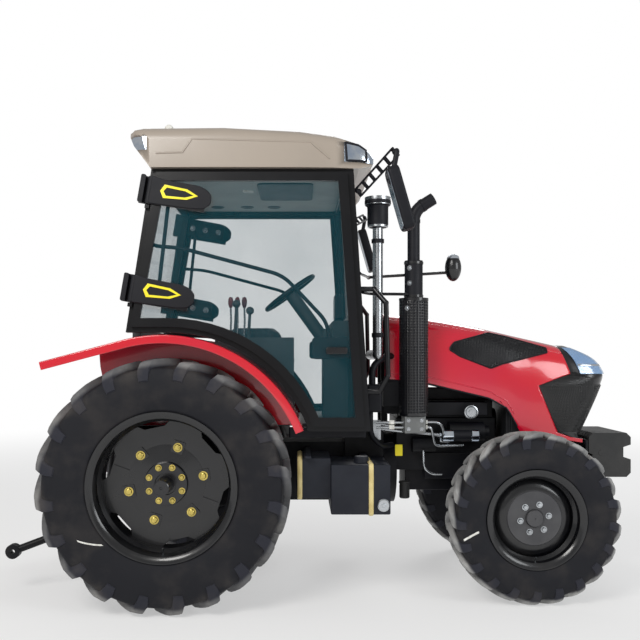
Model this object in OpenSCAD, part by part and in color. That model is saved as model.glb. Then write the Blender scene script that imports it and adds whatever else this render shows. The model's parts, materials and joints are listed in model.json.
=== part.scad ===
// Farm tractor with a closed cab, four driven wheels and a rear three-point hitch
// Lengths in millimetres: x forward, y left, z up, origin on the ground under the middle
// Inside the modules x is counted from the rear axle

/* [Layout] */
// Distance between the two axles
wheelbase = 2050; // [1950:10:2200]
// From the rear axle to the end of the lower links
rear_overhang = 990; // [940:10:1100]
// From the front axle to the face of the weights
front_overhang = 710; // [680:10:800]
// Distance between the rear tyre centres
rear_track = 1480; // [1460:10:1600]
// Distance between the front tyre centres
front_track = 1200; // [1190:10:1300]

/* [Tyres] */
// Radius of a rear tyre over the lugs
rear_tyre_r = 690; // [670:5:700]
// Width of a rear tyre
rear_tyre_w = 380; // [340:10:400]
// Bead radius of a rear rim
rear_rim_r = 381; // [370:1:390]
// Radius of a front tyre over the lugs
front_tyre_r = 482; // [470:2:490]
// Width of a front tyre
front_tyre_w = 250; // [230:10:270]
// Bead radius of a front rim
front_rim_r = 254; // [245:1:265]
// Steering pins stand this far inside the front tyre centres
pin_inset = 130; // [120:5:140]

/* [Cab] */
// Height of the cab floor
floor_z = 1000; // [980:5:1020]
// Half width of the cab at the floor
cab_half = 670; // [650:5:690]
// Half width of the cab under the roof
cab_half_top = 615; // [600:5:640]
// Height of the pillar tops
cab_top_z = 2450; // [2420:5:2480]
// Front edge of the front pillars at the floor
cab_front_x = 1130; // [1120:5:1140]
// Thickness of the frame members across the cab
frame_t = 55; // [45:1:60]
// Thickness of a door
door_t = 26; // [20:1:30]
// Gap between a door and the frame
door_gap = 5; // [5:0.5:8]
// Height of the roof above the pillar tops
roof_h = 245; // [225:5:260]
// Thickness of the window glass
glass_t = 6; // [5:0.5:8]

/* [Hood] */
// Rear edge of the hood
hood_x = 1246; // [1240:2:1270]
// Half width of the hood
hood_half = 325; // [300:5:330]
// Height of the hood at its rear edge
hood_z = 1655; // [1640:5:1670]
// Thickness of the hood sheet
hood_t = 8; // [6:0.5:12]

/* [Fenders] */
// Outer radius of a fender about the rear axle
fender_r = 815; // [805:1:820]
// Thickness of the fender sheet
fender_t = 12; // [8:1:16]
// Outer edge of a fender from the middle
fender_y = 905; // [880:5:930]
// Inner wall of a fender from the middle
fender_in = 480; // [470:5:490]

/* [Hitch] */
// Distance from the middle to a lower link end
link_y = 430; // [410:5:440]
// Height of the lower link ends
link_end_z = 245; // [230:5:270]
// Radius of the bore in a lower link ball
link_bore_r = 14.35; // [14.35:0.05:14.6]
// Radius of the top link pin bore
top_bore_r = 12.8; // [12.8:0.05:13]
// Radius of the drawbar pin bore
drawbar_bore_r = 16; // [15:0.5:17]
// Radius of the power take-off shaft
pto_r = 17.4; // [17.3:0.05:17.5]

/* [Hidden] */
length = rear_overhang + wheelbase + front_overhang;
rear_axle_x = rear_overhang - length / 2;
fx = wheelbase;
rear_z = rear_tyre_r;
front_z = front_tyre_r;
pin_y = front_track / 2 - pin_inset;
cab_lean = atan((cab_half - cab_half_top) / (cab_top_z - floor_z));
arch_z = rear_z - floor_z;
top_z = cab_top_z - floor_z;
slope = 9.4;
roof_z = floor_z + top_z * cos(cab_lean);
hinge_d = door_gap + door_t / 2;
rock_x = -245;
rock_z = 935;
link_x = -110;
link_z = 545;
hood_pin_x = hood_x + 18;
hood_pin_z = hood_z - 62;
steel_fit = 0.05;
seam = 0.3;

$fn = 64;

// Helpers

module placed() {
    translate([rear_axle_x, 0, 0]) children();
}

// A box from its low corner to its high corner
module box(a, b) {
    translate(a) cube(b - a);
}

// A box reaching equally to both sides of the middle
module wide_box(x0, x1, half, z0, z1) {
    box([x0, -half, z0], [x1, half, z1]);
}

// The same thing on the right and on the left
module both_sides() {
    children();
    mirror([0, 1, 0]) children();
}

// Cylinder along y between two distances
module across(x, z, y0, y1, r) {
    translate([x, y0, z]) rotate([-90, 0, 0]) cylinder(r = r, h = y1 - y0);
}

// Cylinder along x between two distances
module along(y, z, x0, x1, r) {
    translate([x0, y, z]) rotate([0, 90, 0]) cylinder(r = r, h = x1 - x0);
}

// Cylinder standing between two heights
module upright(x, y, z0, z1, r) {
    translate([x, y, z0]) cylinder(r = r, h = z1 - z0);
}

// Round bar from one point to another
module bar(a, b, r) {
    d = b - a;
    flat = norm([d[0], d[1]]);
    translate(a) rotate([0, atan2(flat, d[2]), atan2(d[1], d[0])]) cylinder(r = r, h = norm(d));
}

// Bent tube through a list of points, with round corners
module tube(points, r, ball) {
    for (i = [0 : len(points) - 2]) bar(points[i], points[i + 1], r);
    for (i = [1 : len(points) - 2]) translate(points[i]) sphere(r = ball);
}

// Solid through rings of points that follow each other along x, or up
module loft(rings) {
    n = len(rings[0]);
    m = len(rings);
    sides = [for (j = [0 : m - 2], i = [0 : n - 1])
        let (a = j * n + i, b = j * n + (i + 1) % n, c = b + n, d = a + n) each [[a, d, c], [a, c, b]]];
    first = [[for (i = [0 : n - 1]) i]];
    last = [[for (i = [n - 1 : -1 : 0]) (m - 1) * n + i]];
    polyhedron([for (ring = rings) each ring], concat(first, last, sides));
}

// Sheet between two matching nets of points, outer and inner
module sheet(outer, inner) {
    m = len(outer);
    n = len(outer[0]);
    k = m * n;
    skin = [for (j = [0 : m - 2], i = [0 : n - 2])
        let (a = j * n + i, b = a + 1, c = b + n, d = a + n)
        each [[a, d, c], [a, c, b], [k + a, k + c, k + d], [k + a, k + b, k + c]]];
    ends = [for (i = [0 : n - 2], j = [0, m - 1])
        let (a = j * n + i, b = a + 1, f = j == 0)
        each f ? [[a, b, k + b], [a, k + b, k + a]] : [[a, k + b, b], [a, k + a, k + b]]];
    rims = [for (j = [0 : m - 2], i = [0, n - 1])
        let (a = j * n + i, d = a + n, f = i == 0)
        each f ? [[a, k + a, k + d], [a, k + d, d]] : [[a, k + d, k + a], [a, d, k + d]]];
    points = concat([for (row = outer) each row], [for (row = inner) each row]);
    polyhedron(points, concat(skin, ends, rims));
}

// Flat shape standing in the leaning right-hand cab wall, from one depth outward to another
module wall(d0, d1) {
    translate([0, -cab_half, floor_z]) rotate([90 - cab_lean, 0, 0])
        translate([0, 0, d0]) linear_extrude(d1 - d0) children();
}

// The same leaning wall for solid things, local z pointing outward
module wall_frame() {
    translate([0, -cab_half, floor_z]) rotate([90 - cab_lean, 0, 0]) children();
}

// Distance from the middle to the inside of the cab frame at a height
function inside_y(z) = cab_half - (z - floor_z) * tan(cab_lean) - frame_t / cos(cab_lean);

// Front edge of a front pillar at a height
function pillar_x(z) = cab_front_x - 91 * (z - floor_z + 30) / (top_z + 30);

// Rectangle with round corners
function rounded(w, h, r) =
    [for (q = [0 : 3], a = [0 : 15 : 90]) let (e = q * 90 + a, u = q == 0 || q == 3 ? 1 : -1, v = q < 2 ? 1 : -1)
        [u * (w / 2 - r) + r * cos(e), v * (h / 2 - r) + r * sin(e)]];

// Upright panel or bar from one cab wall to the other, leaning forward or back by dx at its top
module cross(x0, x1, z0, z1, dx) {
    y0 = inside_y(z0);
    y1 = inside_y(z1);
    loft([[[x0, -y0, z0], [x1, -y0, z0], [x1, y0, z0], [x0, y0, z0]],
        [[x0 + dx, -y1, z1], [x1 + dx, -y1, z1], [x1 + dx, y1, z1], [x0 + dx, y1, z1]]]);
}

// Driveline and engine

module transmission() {
    color("dimgray") difference() {
        union() {
            wide_box(-190, 520, 190, 470, 900);
            wide_box(520, 1010, 165, 500, 860);
            wide_box(1010, 1250, 215, 480, 940);
            along(0, 700, 1250, 1330, 235);
            wide_box(-190, 330, 150, 900, 985);
        }
        across(0, rear_z, -200, 200, 62);
    }
}

module rear_axle() {
    y_end = rear_track / 2 - 46;
    color("dimgray") both_sides() {
        across(0, rear_z, 190, y_end - 120, 105);
        across(0, rear_z, y_end - 120, y_end - 22, 92);
        across(0, rear_z, y_end - 22, y_end, 128);
        across(0, rear_z, y_end, y_end + 52, 40 - steel_fit);
        box([-70, 260, rear_z + 80], [70, 420, rear_z + 170]);
    }
}

module engine() {
    x0 = 1330;
    x1 = fx - 110;
    color("slategray") union() {
        wide_box(x0, x1, 190, 690, 1010);
        wide_box(x0 + 60, x1 - 40, 150, 560, 690);
        wide_box(x0 + 10, x1 - 10, 165, 1010, 1120);
        wide_box(x0 + 30, x1 - 40, 95, 1120, 1190);
        box([x0 + 40, -250, 1030], [x1 - 60, -165, 1110]);
        box([x0 + 30, 165, 1030], [x1 - 60, 235, 1100]);
        along(0, 760, x1, x1 + 45, 105);
        along(0, 990, x1, x1 + 40, 70);
    }
}

module engine_auxiliaries() {
    color("gray") {
        along(-262, 930, 1640, 1850, 62);
        along(-262, 930, 1850, 1880, 40);
        box([1680, -230, 900], [1780, -190, 960]);
        along(-250, 852, 1420, 1560, 46);
        box([1440, -230, 830], [1540, -190, 870]);
        upright(1500, 280, 720, 880, 55);
        box([1470, 190, 840], [1530, 250, 880]);
        along(270, 960, 1560, 1800, 58);
        box([1640, 190, 930], [1720, 240, 990]);
    }
}

module radiator() {
    color("dimgray") {
        wide_box(fx - 30, fx + 60, 265, 835, 1370);
        wide_box(fx - 55, fx - 30, 240, 860, 1340);
    }
}

module front_frame() {
    color("dimgray") union() {
        both_sides() box([1500, 190, 640], [fx + 420, 218, 800]);
        wide_box(fx - 60, fx + 420, 190, 730, 835);
        wide_box(fx + 300, fx + 430, 190, 620, 835);
        wide_box(fx + 430, fx + 450, 240, 690, 880);
        both_sides() box([fx - 60, 190, 800], [fx + 300, 270, 835]);
    }
}

module front_axle() {
    color("dimgray") difference() {
        union() {
            translate([fx, 0, front_z]) sphere(r = 150);
            across(fx, front_z + 10, -pin_y + 40, pin_y - 40, 72);
            both_sides() upright(fx, pin_y, front_z - 90, front_z + 90, 52);
            wide_box(fx - 55, fx + 55, 120, front_z + 100, 730);
        }
        both_sides() upright(fx, pin_y, front_z - 100, front_z + 100, 20 + steel_fit);
    }
}

module knuckle(side) {
    y_hub = front_track / 2 - 26;
    color("dimgray") scale([1, side, 1]) {
        upright(fx, pin_y, front_z - 130, front_z + 130, 20);
        upright(fx, pin_y, front_z + 92, front_z + 130, 60);
        upright(fx, pin_y, front_z - 130, front_z - 92, 60);
        box([fx - 50, pin_y, front_z + 92], [fx + 50, pin_y + 95, front_z + 125]);
        box([fx - 50, pin_y, front_z - 125], [fx + 50, pin_y + 95, front_z - 92]);
        across(fx, front_z, pin_y + 62, y_hub - 6, 128);
        across(fx, front_z, y_hub - 6, y_hub + 40, 35 - steel_fit);
        box([fx - 165, pin_y - 30, front_z - 125], [fx - 40, pin_y + 30, front_z - 97]);
    }
}

module front_weights() {
    face = fx + front_overhang;
    pitch = 48;
    color("dimgray") union() {
        for (i = [-4.5 : 4.5]) translate([0, i * pitch + 22, 0]) rotate([90, 0, 0]) linear_extrude(44)
            weight_shape(face);
        across(face - 180, 800, -240, 240, 18);
        wide_box(fx + 450, face - 235, 238, 710, 780);
    }
}

// Outline of one weight plate
module weight_shape(face) {
    c = 26;
    polygon([[face - 257 + c, 652], [face - c, 652], [face, 652 + c], [face, 760], [face - 45, 775],
        [face - 45, 835], [face, 850], [face, 922 - c], [face - c, 922], [face - 257 + c, 922],
        [face - 257, 922 - c], [face - 257, 800], [face - 235, 790], [face - 235, 700], [face - 257, 690],
        [face - 257, 652 + c]]);
}

// Wheels

function tyre_profile(r, w, rim_r) =
    let (h = r - rim_r, b = w * 0.42, half = [
        [rim_r, b - 4], [rim_r + 27, b], [rim_r + 0.3 * h, w * 0.485], [rim_r + 0.5 * h, w / 2],
        [rim_r + 0.68 * h, w * 0.495], [r - 0.14 * h, w * 0.475], [r - 10, w * 0.43], [r, w * 0.3]])
    concat(half, [for (i = [len(half) - 1 : -1 : 0]) [half[i][0], -half[i][1]]]);

module tyre(r, w, rim_r) {
    color("black") rotate([-90, 0, 0]) rotate_extrude() polygon(tyre_profile(r, w, rim_r));
}

function rim_profile(rim_r, b) = [
    [rim_r - 16, -b - 12], [rim_r + 25, -b - 12], [rim_r + 25, -b - 1], [rim_r - seam, -b - 1],
    [rim_r - seam, b + 1], [rim_r + 25, b + 1], [rim_r + 25, b + 12], [rim_r - 16, b + 12],
    [rim_r - 16, 60], [rim_r - 34, 40], [rim_r - 34, -40], [rim_r - 16, -60]];

module rear_rim() {
    b = rear_tyre_w * 0.42;
    r_in = rear_rim_r - 28;
    color("black") rotate([-90, 0, 0]) difference() {
        union() {
            rotate_extrude() polygon(rim_profile(rear_rim_r, b));
            translate([0, 0, -20]) linear_extrude(14) {
                circle(r = r_in - 36);
                for (i = [0 : 5]) rotate(60 * i + 12) translate([r_in - 130, -75]) square([136, 150]);
            }
            translate([0, 0, -40]) cylinder(r = 135, h = 40);
            cylinder(r = 114, h = 26);
            translate([0, 0, 12]) cylinder(r = 43, h = b);
            for (i = [0 : 5]) rotate(60 * i + 12) translate([209, 0, -8]) cube([64, 64, 14], center = true);
        }
        translate([0, 0, -41]) cylinder(r = 40, h = 49);
    }
}

module front_rim() {
    b = front_tyre_w * 0.42;
    r_in = front_rim_r - 28;
    color("black") rotate([-90, 0, 0]) difference() {
        union() {
            rotate_extrude() polygon(rim_profile(front_rim_r, b));
            rotate_extrude() polygon([[130, 40], [r_in - 20, 20], [r_in + 4, -2],
                [r_in + 4, 10], [r_in - 14, 33], [140, 54], [130, 54]]);
            translate([0, 0, -26]) cylinder(r = 156, h = 84);
            cylinder(r = 48, h = 74);
        }
        translate([0, 0, -27]) cylinder(r = 35, h = 45);
    }
}

module rear_wheel_at(side) {
    translate([0, side * rear_track / 2, rear_z]) scale([1, side, 1]) children();
}

module front_wheel_at(side) {
    translate([fx, side * front_track / 2, front_z]) scale([1, side, 1]) children();
}

// Exhaust, intake, tank and steps

module exhaust() {
    x = 1403;
    y = -440;
    bend = 110;
    turn = 58;
    end = [x + bend - bend * cos(turn), y, 2182 + bend * sin(turn)];
    way = [sin(turn), 0, cos(turn)];
    color("dimgray") difference() {
        union() {
            upright(x, y, 1043, 1729, 82);
            upright(x, y, 1729, 1950, 53);
            upright(x, y, 1950, 2182, 36);
            translate([x + bend, y, 2182]) rotate([90, 0, 0]) rotate([0, 0, 180 - turn])
                rotate_extrude(angle = turn) translate([bend, 0]) circle(r = 36);
            bar(end, end + 75 * way, 36);
            upright(x, y, 2172, 2192, 39);
            bar(end - 9 * way, end + 9 * way, 39);
            box([x - 62, y - 60, 943], [x + 62, y + 60, 1043]);
            across(x, 1075, y + 40, -250, 45);
        }
        bar(end + 5 * way, end + 90 * way, 31);
    }
}

module air_intake() {
    x = 1192;
    y = -445;
    color("silver") union() {
        upright(x, y, 1400, 2145, 30);
        upright(x, y, 2145, 2275, 60);
        upright(x, y, 2275, 2320, 76);
        translate([x, y, 1400]) sphere(r = 31);
        across(x, 1400, y, 60, 30);
        translate([x, 60, 1400]) sphere(r = 31);
        along(60, 1400, x, 1300, 30);
        along(60, 1400, 1300, 1640, 95);
        box([1400, 20, 1190], [1440, 90, 1330]);
    }
}

module fuel_tank() {
    color("black") union() {
        box([910, -650, 500], [1245, -250, 780]);
        box([715, -600, 583], [910, -250, 812]);
        upright(1090, -520, 780, 815, 42);
        box([760, -650, 812], [800, -165, 830]);
        box([1100, -300, 780], [1140, -215, 800]);
    }
}

module battery_step() {
    color("black") union() {
        box([930, 250, 560], [1245, 560, 800]);
        both_sides_x(1010, 1180) box([0, 560, 380], [14, 600, 800]);
        box([1010, 560, 380], [1194, 700, 400]);
        box([1010, 560, 590], [1194, 680, 610]);
        box([960, 165, 640], [1010, 250, 760]);
    }
}

module both_sides_x(a, b) {
    translate([a, 0, 0]) children();
    translate([b, 0, 0]) children();
}

// Cab

module cab_floor() {
    color("dimgray") union() {
        wide_box(700, cab_front_x - 95, 480, floor_z - 30, floor_z);
        wide_box(-190, 700, 480, 985, 1180);
        wide_box(-240, -190, 480, 985, 1545);
        both_sides() box([fender_r - 40, 480, floor_z - 30], [cab_front_x - 95, cab_half - frame_t, floor_z]);
    }
}

// Room round a rear wheel in a cab wall: a quarter circle to the front, level to the rear
module wheel_room(r) {
    polygon(concat([for (a = [0 : 5 : 90]) [r * cos(a), arch_z + r * sin(a)]],
        [[-700, arch_z + r], [-700, -500], [r, -500]]));
}

// Door opening of a cab wall, drawn a little smaller or larger
module opening(grow) {
    difference() {
        polygon([[-50 - grow, top_z - 45 + grow], [cab_front_x - 150 + grow, top_z - 45 + grow],
            [cab_front_x - 58 + grow, 20 - grow], [600, 20 - grow], [-190 - grow, 560 - grow]]);
        wheel_room(fender_r + 70 - grow);
    }
}

module side_outline() {
    difference() {
        polygon([[-105, top_z], [cab_front_x - 91, top_z], [cab_front_x, -30], [600, -30], [-245, 510]]);
        wheel_room(fender_r + 20);
    }
}

// Place on the hinge line of the right-hand door, local y along the line
function hinge_x(v) = -50 - (top_z - 45 - v) * tan(slope) - 42;
hinge_v = [top_z - 175, 720];

module at_hinge(v) {
    wall_frame() translate([hinge_x(v), v, hinge_d]) rotate([0, 0, -slope]) children();
}

module cab_sides() {
    color("black") both_sides() difference() {
        union() {
            wall(-frame_t, 0) difference() {
                side_outline();
                opening(0);
            }
            for (v = hinge_v) at_hinge(v) {
                translate([0, -46, 0]) rotate([-90, 0, 0]) cylinder(r = 8, h = 92);
                for (e = [-54, 32]) translate([-16, e, -hinge_d - 4]) cube([25, 22, hinge_d + 13]);
            }
        }
    }
}

module cab_crossbars() {
    color("black") {
        cross(cab_front_x - 145, cab_front_x - 95, cab_top_z - 62, roof_z, 0);
        cross(-104, -56, cab_top_z - 62, roof_z, 0);
        cross(cab_front_x - 95, cab_front_x - 60, floor_z - 30, 1640, 0);
    }
}

module door_frame(side) {
    color("black") scale([1, -side, 1]) difference() {
        union() {
            wall(door_gap, door_gap + door_t) difference() {
                opening(22);
                opening(-28);
            }
            for (v = hinge_v) at_hinge(v) {
                translate([0, -30, 0]) rotate([-90, 0, 0]) cylinder(r = 15, h = 60);
                translate([-10, -28, 4]) cube([22, 56, door_t / 2 + 6]);
                translate([-12, -29, door_t / 2 - 2]) cube([332, 58, 14]);
            }
        }
        for (v = hinge_v) at_hinge(v) translate([0, -50, 0]) rotate([-90, 0, 0])
            cylinder(r = 8 + steel_fit, h = 100);
    }
}

module door_glass(side) {
    mid = door_gap + door_t / 2;
    color("lightblue") scale([1, -side, 1]) wall(mid - glass_t / 2, mid + glass_t / 2) opening(-28);
}

module roof_shape() {
    loft([for (s = [[-233, 190, 215, 560], [-200, 125, 228, 630], [-150, 60, 236, 655], [-106, 0, 239, 664],
        [300, 0, 242, 668], [736, 0, 220, 664], [930, 0, 196, 652], [1070, 0, 156, 628],
        [1130, 18, 112, 600], [1156, 42, 80, 560]]) roof_ring(s)]);
}

function roof_ring(s) =
    let (z0 = roof_z + s[1], z1 = roof_z + s[2] * roof_h / 235, w = s[3])
    [for (a = [0 : 12 : 180]) let (c = cos(a), e = sin(a))
        [s[0], w * sign(c) * pow(abs(c), 0.2), z0 + (z1 - z0) * pow(e, 0.3)]];

// Room of a lamp at a front roof corner and one at a rear corner
module lamp_room(g) {
    box([985 - g, 480 - g, roof_z + 36 - g], [1200, 720, roof_z + 150 + g]);
    box([-300, 430 - g, roof_z + 100 - g], [-125 + g, 720, roof_z + 175 + g]);
}

module roof() {
    color("tan") difference() {
        roof_shape();
        both_sides() lamp_room(seam);
    }
}

module roof_lamps() {
    color("white") intersection() {
        roof_shape();
        both_sides() lamp_room(0);
    }
}

module fixed_glass() {
    z0 = 1640;
    z1 = cab_top_z - 62;
    color("lightblue") {
        cross(cab_front_x - 95, cab_front_x - 95 + glass_t, z0, z1, -40);
        cross(-232, -232 + glass_t, 1545, z1, 136);
    }
}

// Fenders

module fender() {
    color("red") translate([0, fender_y, rear_z]) rotate([90, 0, 0]) union() {
        linear_extrude(fender_y - fender_in) fender_band(fender_t);
        linear_extrude(10) fender_band(46);
        translate([0, 0, fender_y - fender_in - 12]) linear_extrude(12) fender_wall();
    }
}

// Band that follows the tyre over the top and runs out flat to the rear
module fender_band(t) {
    difference() {
        fender_shape(fender_r, 0);
        fender_shape(fender_r - t, t);
        rotate(22) translate([-2000, -1500]) square([4000, 1500]);
        translate([-2000, -1500]) square([1350, 3000]);
    }
}

// Outline of the fender in side view, the tail ending 650 behind the axle
module fender_shape(r, drop) {
    k = fender_r * cos(15);
    polygon(concat([for (a = [0 : 3 : 105]) r * [cos(a), sin(a)]],
        [[-700, k - 130 - drop], [-700, -900], [r, -900]]));
}

module fender_wall() {
    difference() {
        fender_shape(fender_r, 0);
        translate([-2000, -1500]) square([4000, 1800]);
        translate([-2000, -1500]) square([1350, 3000]);
    }
}

module fenders() {
    both_sides() fender();
}

// Inside the cab

module seat() {
    color("black") {
        wide_box(330, 560, 150, 1180, 1300);
        wide_box(250, 720, 240, 1300, 1430);
        wide_box(250, 640, 230, 1430, 1560);
    }
}

module dashboard() {
    color("dimgray") union() {
        wide_box(880, cab_front_x - 95, 190, floor_z, 1560);
        wide_box(930, cab_front_x - 95, 420, 1400, 1600);
        bar([914, 0, 1462.7], [679.06, 0, 1786.29], 42);
    }
}

module steering_wheel() {
    color("black") translate([672, 0, 1796]) rotate([0, -36, 0]) union() {
        rotate_extrude() translate([180, 0]) circle(r = 14);
        translate([0, 0, -12]) cylinder(r = 48, h = 24);
        for (i = [0 : 2]) rotate(120 * i) translate([30, -14, -6]) cube([145, 28, 12]);
    }
}

module side_console() {
    color("dimgray") union() {
        box([240, -478, 1180], [700, -290, 1500]);
        bar([350, -400, 1490], [360, -400, 1690], 9);
        bar([430, -400, 1490], [440, -400, 1650], 9);
        translate([360, -400, 1700]) sphere(r = 24);
        translate([440, -400, 1660]) sphere(r = 24);
    }
}

module mirrors() {
    color("black") both_sides() {
        translate([1249, 1035, 2200]) rotate([0, -16, 0]) rotate([90, 0, 90]) translate([0, 0, -32])
            linear_extrude(64) polygon(rounded(150, 335, 40));
        tube([[pillar_x(2330) + 1, 592, 2330], [1095, 592, 2330], [1205, 1020, 2430], [1210, 1035, 2330]], 14, 14.6);
    }
}

// Small round mirror on a stalk that shows the ground ahead of the hood
module front_mirror() {
    color("black") union() {
        translate([1643, -395, 1834]) rotate_extrude() polygon([for (a = [0 : 12 : 180])
            [48 * sin(a), 80 - 80 * cos(a)]]);
        bar([1074.5, -606, 1860], [1145, -364, 1861], 9);
        translate([1145, -364, 1861]) sphere(r = 13);
        bar([1145, -364, 1861], [1640, -376, 1890], 9);
    }
}

module grab_handles() {
    color("black") both_sides() {
        tube([[pillar_x(1770) + 1, 613, 1770], [1155, 613, 1770], [1218, 652, 1690], [1228, 664, 1280],
            [1182, 634, 1190], [pillar_x(1190) + 1, 634, 1190]], 15, 16.5);
    }
}

module hydraulic_pipes() {
    color("silver") union() {
        box([1170, -290, 885], [1225, -215, 1000]);
        box([1585, -290, 870], [1640, -190, 925]);
        bar([1220, -262, 980], [1600, -262, 905], 10);
        bar([1220, -278, 950], [1600, -278, 912], 10);
    }
}

// Rear hitch

module hitch_bracket() {
    color("dimgray") difference() {
        union() {
            wide_box(-290, -190, 160, 560, 985);
            both_sides() box([-370, 28, 780], [-280, 50, 900]);
            across(rock_x, rock_z, -260, 260, 48);
            both_sides() across(link_x, link_z, 190, 262, 34);
            both_sides() across(link_x, link_z, 255, 320, 20);
        }
        across(-335, 850, -60, 60, top_bore_r);
        across(rock_x, rock_z, -300, 300, 30 + steel_fit);
    }
}

module drawbar() {
    color("dimgray") difference() {
        union() {
            box([-600, -45, 385], [200, 45, 425]);
            box([-160, -110, 425], [200, 110, 470]);
        }
        upright(-560, 0, 380, 430, drawbar_bore_r);
    }
}

module pto_shaft() {
    color("silver") along(0, 610, -440, -290, pto_r);
}

module lower_links() {
    end_x = 42 - rear_overhang;
    color("dimgray") both_sides() difference() {
        union() {
            bar([link_x, 290, link_z], [end_x, link_y, link_end_z], 22);
            across(end_x, link_end_z, link_y - 24, link_y + 24, 42);
            across(link_x, link_z, 266, 314, 42);
        }
        across(end_x, link_end_z, link_y - 30, link_y + 30, link_bore_r);
        across(link_x, link_z, 240, 340, 20 + steel_fit);
    }
}

module lift_arms() {
    color("dimgray") union() {
        across(rock_x, rock_z, -312, 312, 30);
        both_sides() {
            across(rock_x, rock_z, 268, 312, 46);
            bar([rock_x, 290, rock_z], [-535, 318, 880], 22);
            across(-535, 880, 300, 338, 32);
            across(-535, 880, 330, 384, 12);
        }
    }
}

module lift_rods() {
    color("dimgray") both_sides() difference() {
        union() {
            across(-535, 880, 344, 380, 28);
            bar([-535, 362, 880], [-600, 420, 370], 15);
            across(-600, 370, 406, 438, 26);
        }
        across(-535, 880, 300, 400, 12 + steel_fit);
        across(-600, 370, 390, 450, 12);
    }
}

// Hood and nose

function hood_top(x) = lookup(x, [[hood_x, hood_z], [1511, 1628], [1800, 1577], [2078, 1515], [2340, 1455], [2450, 1425]]);
function hood_low(x) = lookup(x, [[hood_x, 1250], [1498, 1226], [1876, 1136], [1984, 1076], [2060, 940], [2120, 900], [2450, 885]]);
function hood_w(x) = lookup(x, [[hood_x, hood_half], [1800, hood_half - 5], [2200, hood_half - 18], [2450, hood_half - 45]]);
function hood_end(f) = lookup(f, [[0, 2416], [0.065, 2294], [0.53, 2177], [0.71, 2380], [1, 2325]]);
hood_p = 4.5;
function side_y(x, f) = hood_w(x) * pow(max(0, 1 - pow(f, hood_p)), 1 / hood_p);
hood_f = [0, 0.065, 0.3, 0.53, 0.62, 0.71, 0.8, 0.88, 0.94, 0.975, 0.992, 1];

function hood_point(f, s, j, m, t) =
    let (x = hood_x + (hood_end(f) - hood_x) * j / m, low = hood_low(x), top = hood_top(x))
    [x, s * side_y(x, f) * (hood_w(x) - t) / hood_w(x), low + (top - low) * f - t * pow(f, 14)];

function hood_net(t) =
    let (m = 26, k = len(hood_f))
    [for (j = [0 : m]) concat([for (i = [0 : k - 1]) hood_point(hood_f[i], 1, j, m, t)],
        [for (i = [k - 2 : -1 : 0]) hood_point(hood_f[i], -1, j, m, t)])];

module hood_shell() {
    color("red") sheet(hood_net(0), hood_net(hood_t));
}

// Hood hinge at the rear edge

module hood_stand() {
    color("dimgray") union() {
        both_sides() box([hood_pin_x - 20, 90, 940], [hood_pin_x + 20, 120, hood_pin_z + 20]);
        box([hood_pin_x - 20, -90, 1180], [hood_pin_x + 20, 90, 1220]);
        both_sides() across(hood_pin_x, hood_pin_z, 110, 190, 12);
    }
}

module hood_hinges() {
    top = hood_z - hood_t - 9;
    color("dimgray") both_sides() difference() {
        union() {
            across(hood_pin_x, hood_pin_z, 128, 168, 24);
            box([hood_pin_x - 14, 128, hood_pin_z], [hood_pin_x + 20, 168, top]);
        }
        across(hood_pin_x, hood_pin_z, 100, 200, 12 + steel_fit);
    }
}

// Nose that closes the hood in front, starting where each line of the hood ends
function nose_x(f) = hood_end(f) + seam;
function nose_z(f) = let (x = nose_x(f)) hood_low(x) + (hood_top(x) - hood_low(x)) * f;
function nose_front(z) =
    lookup(z, [[880, 2440], [1080, 2545], [1250, 2618], [1300, 2612], [1380, 2550], [1455, 2400]]);

// Point of the nose outline at level f, from the side (a = 0) to the middle (a = 90)
function nose_point(f, a, t) =
    let (x0 = nose_x(f), z = nose_z(f), x1 = max(nose_front(z), x0 + 30) + t, y0 = side_y(x0, f) + t)
    [x0 + (x1 - x0) * pow(sin(a), 0.55), y0 * pow(cos(a), 0.45), z];

function nose_ring(f) =
    let (half = [for (a = [0, 3, 8, 15, 25, 38, 52, 66, 80, 90]) nose_point(f, a, 0)], n = len(half))
    concat([for (i = [0 : n - 1]) let (q = half[i]) [q[0], -q[1], q[2]]],
        [for (i = [n - 2 : -1 : 0]) half[i]]);

module grille() {
    color("black") loft([for (f = [0, 0.065, 0.18, 0.3, 0.42, 0.53, 0.62, 0.71, 0.76, 0.8, 0.84, 0.88, 0.94,
        0.975, 0.99]) nose_ring(f)]);
}

module headlamps() {
    angles = [10, 16, 24, 34, 46, 58];
    levels = [0.71, 0.76, 0.8, 0.84, 0.88];
    color("lightblue") both_sides() sheet(
        [for (f = levels) [for (a = angles) nose_point(f, a, 8)]],
        [for (f = levels) [for (a = angles) nose_point(f, a, 1)]]);
}

// Dark vent panel on each side of the hood, between a low and a high edge
function vent_low(x) = lookup(x, [[1640, 1428], [1680, 1400], [1880, 1322], [1960, 1345], [2250, 1415]]);
function vent_high(x) = lookup(x, [[1640, 1438], [1680, 1482], [1880, 1522], [1960, 1510], [2250, 1442]]);
function vent_net(t) = [for (x = [1640 : 20 : 2240]) [for (k = [0 : 8])
    let (z = vent_low(x) + (vent_high(x) - vent_low(x)) * k / 8) off_hood(x, z, t)]];

// Point standing off the side of the hood by t, square to its surface
function off_hood(x, z, t) =
    let (low = hood_low(x), h = hood_top(x) - low, w = hood_w(x), f = (z - low) / h, y = side_y(x, f),
        gy = pow(y / w, hood_p - 1) / w, gz = pow(f, hood_p - 1) / h, g = norm([gy, gz]))
    [x, y + t * gy / g, z + t * gz / g];

module side_vents() {
    color("black") both_sides() sheet(vent_net(8), vent_net(2));
}

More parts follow.
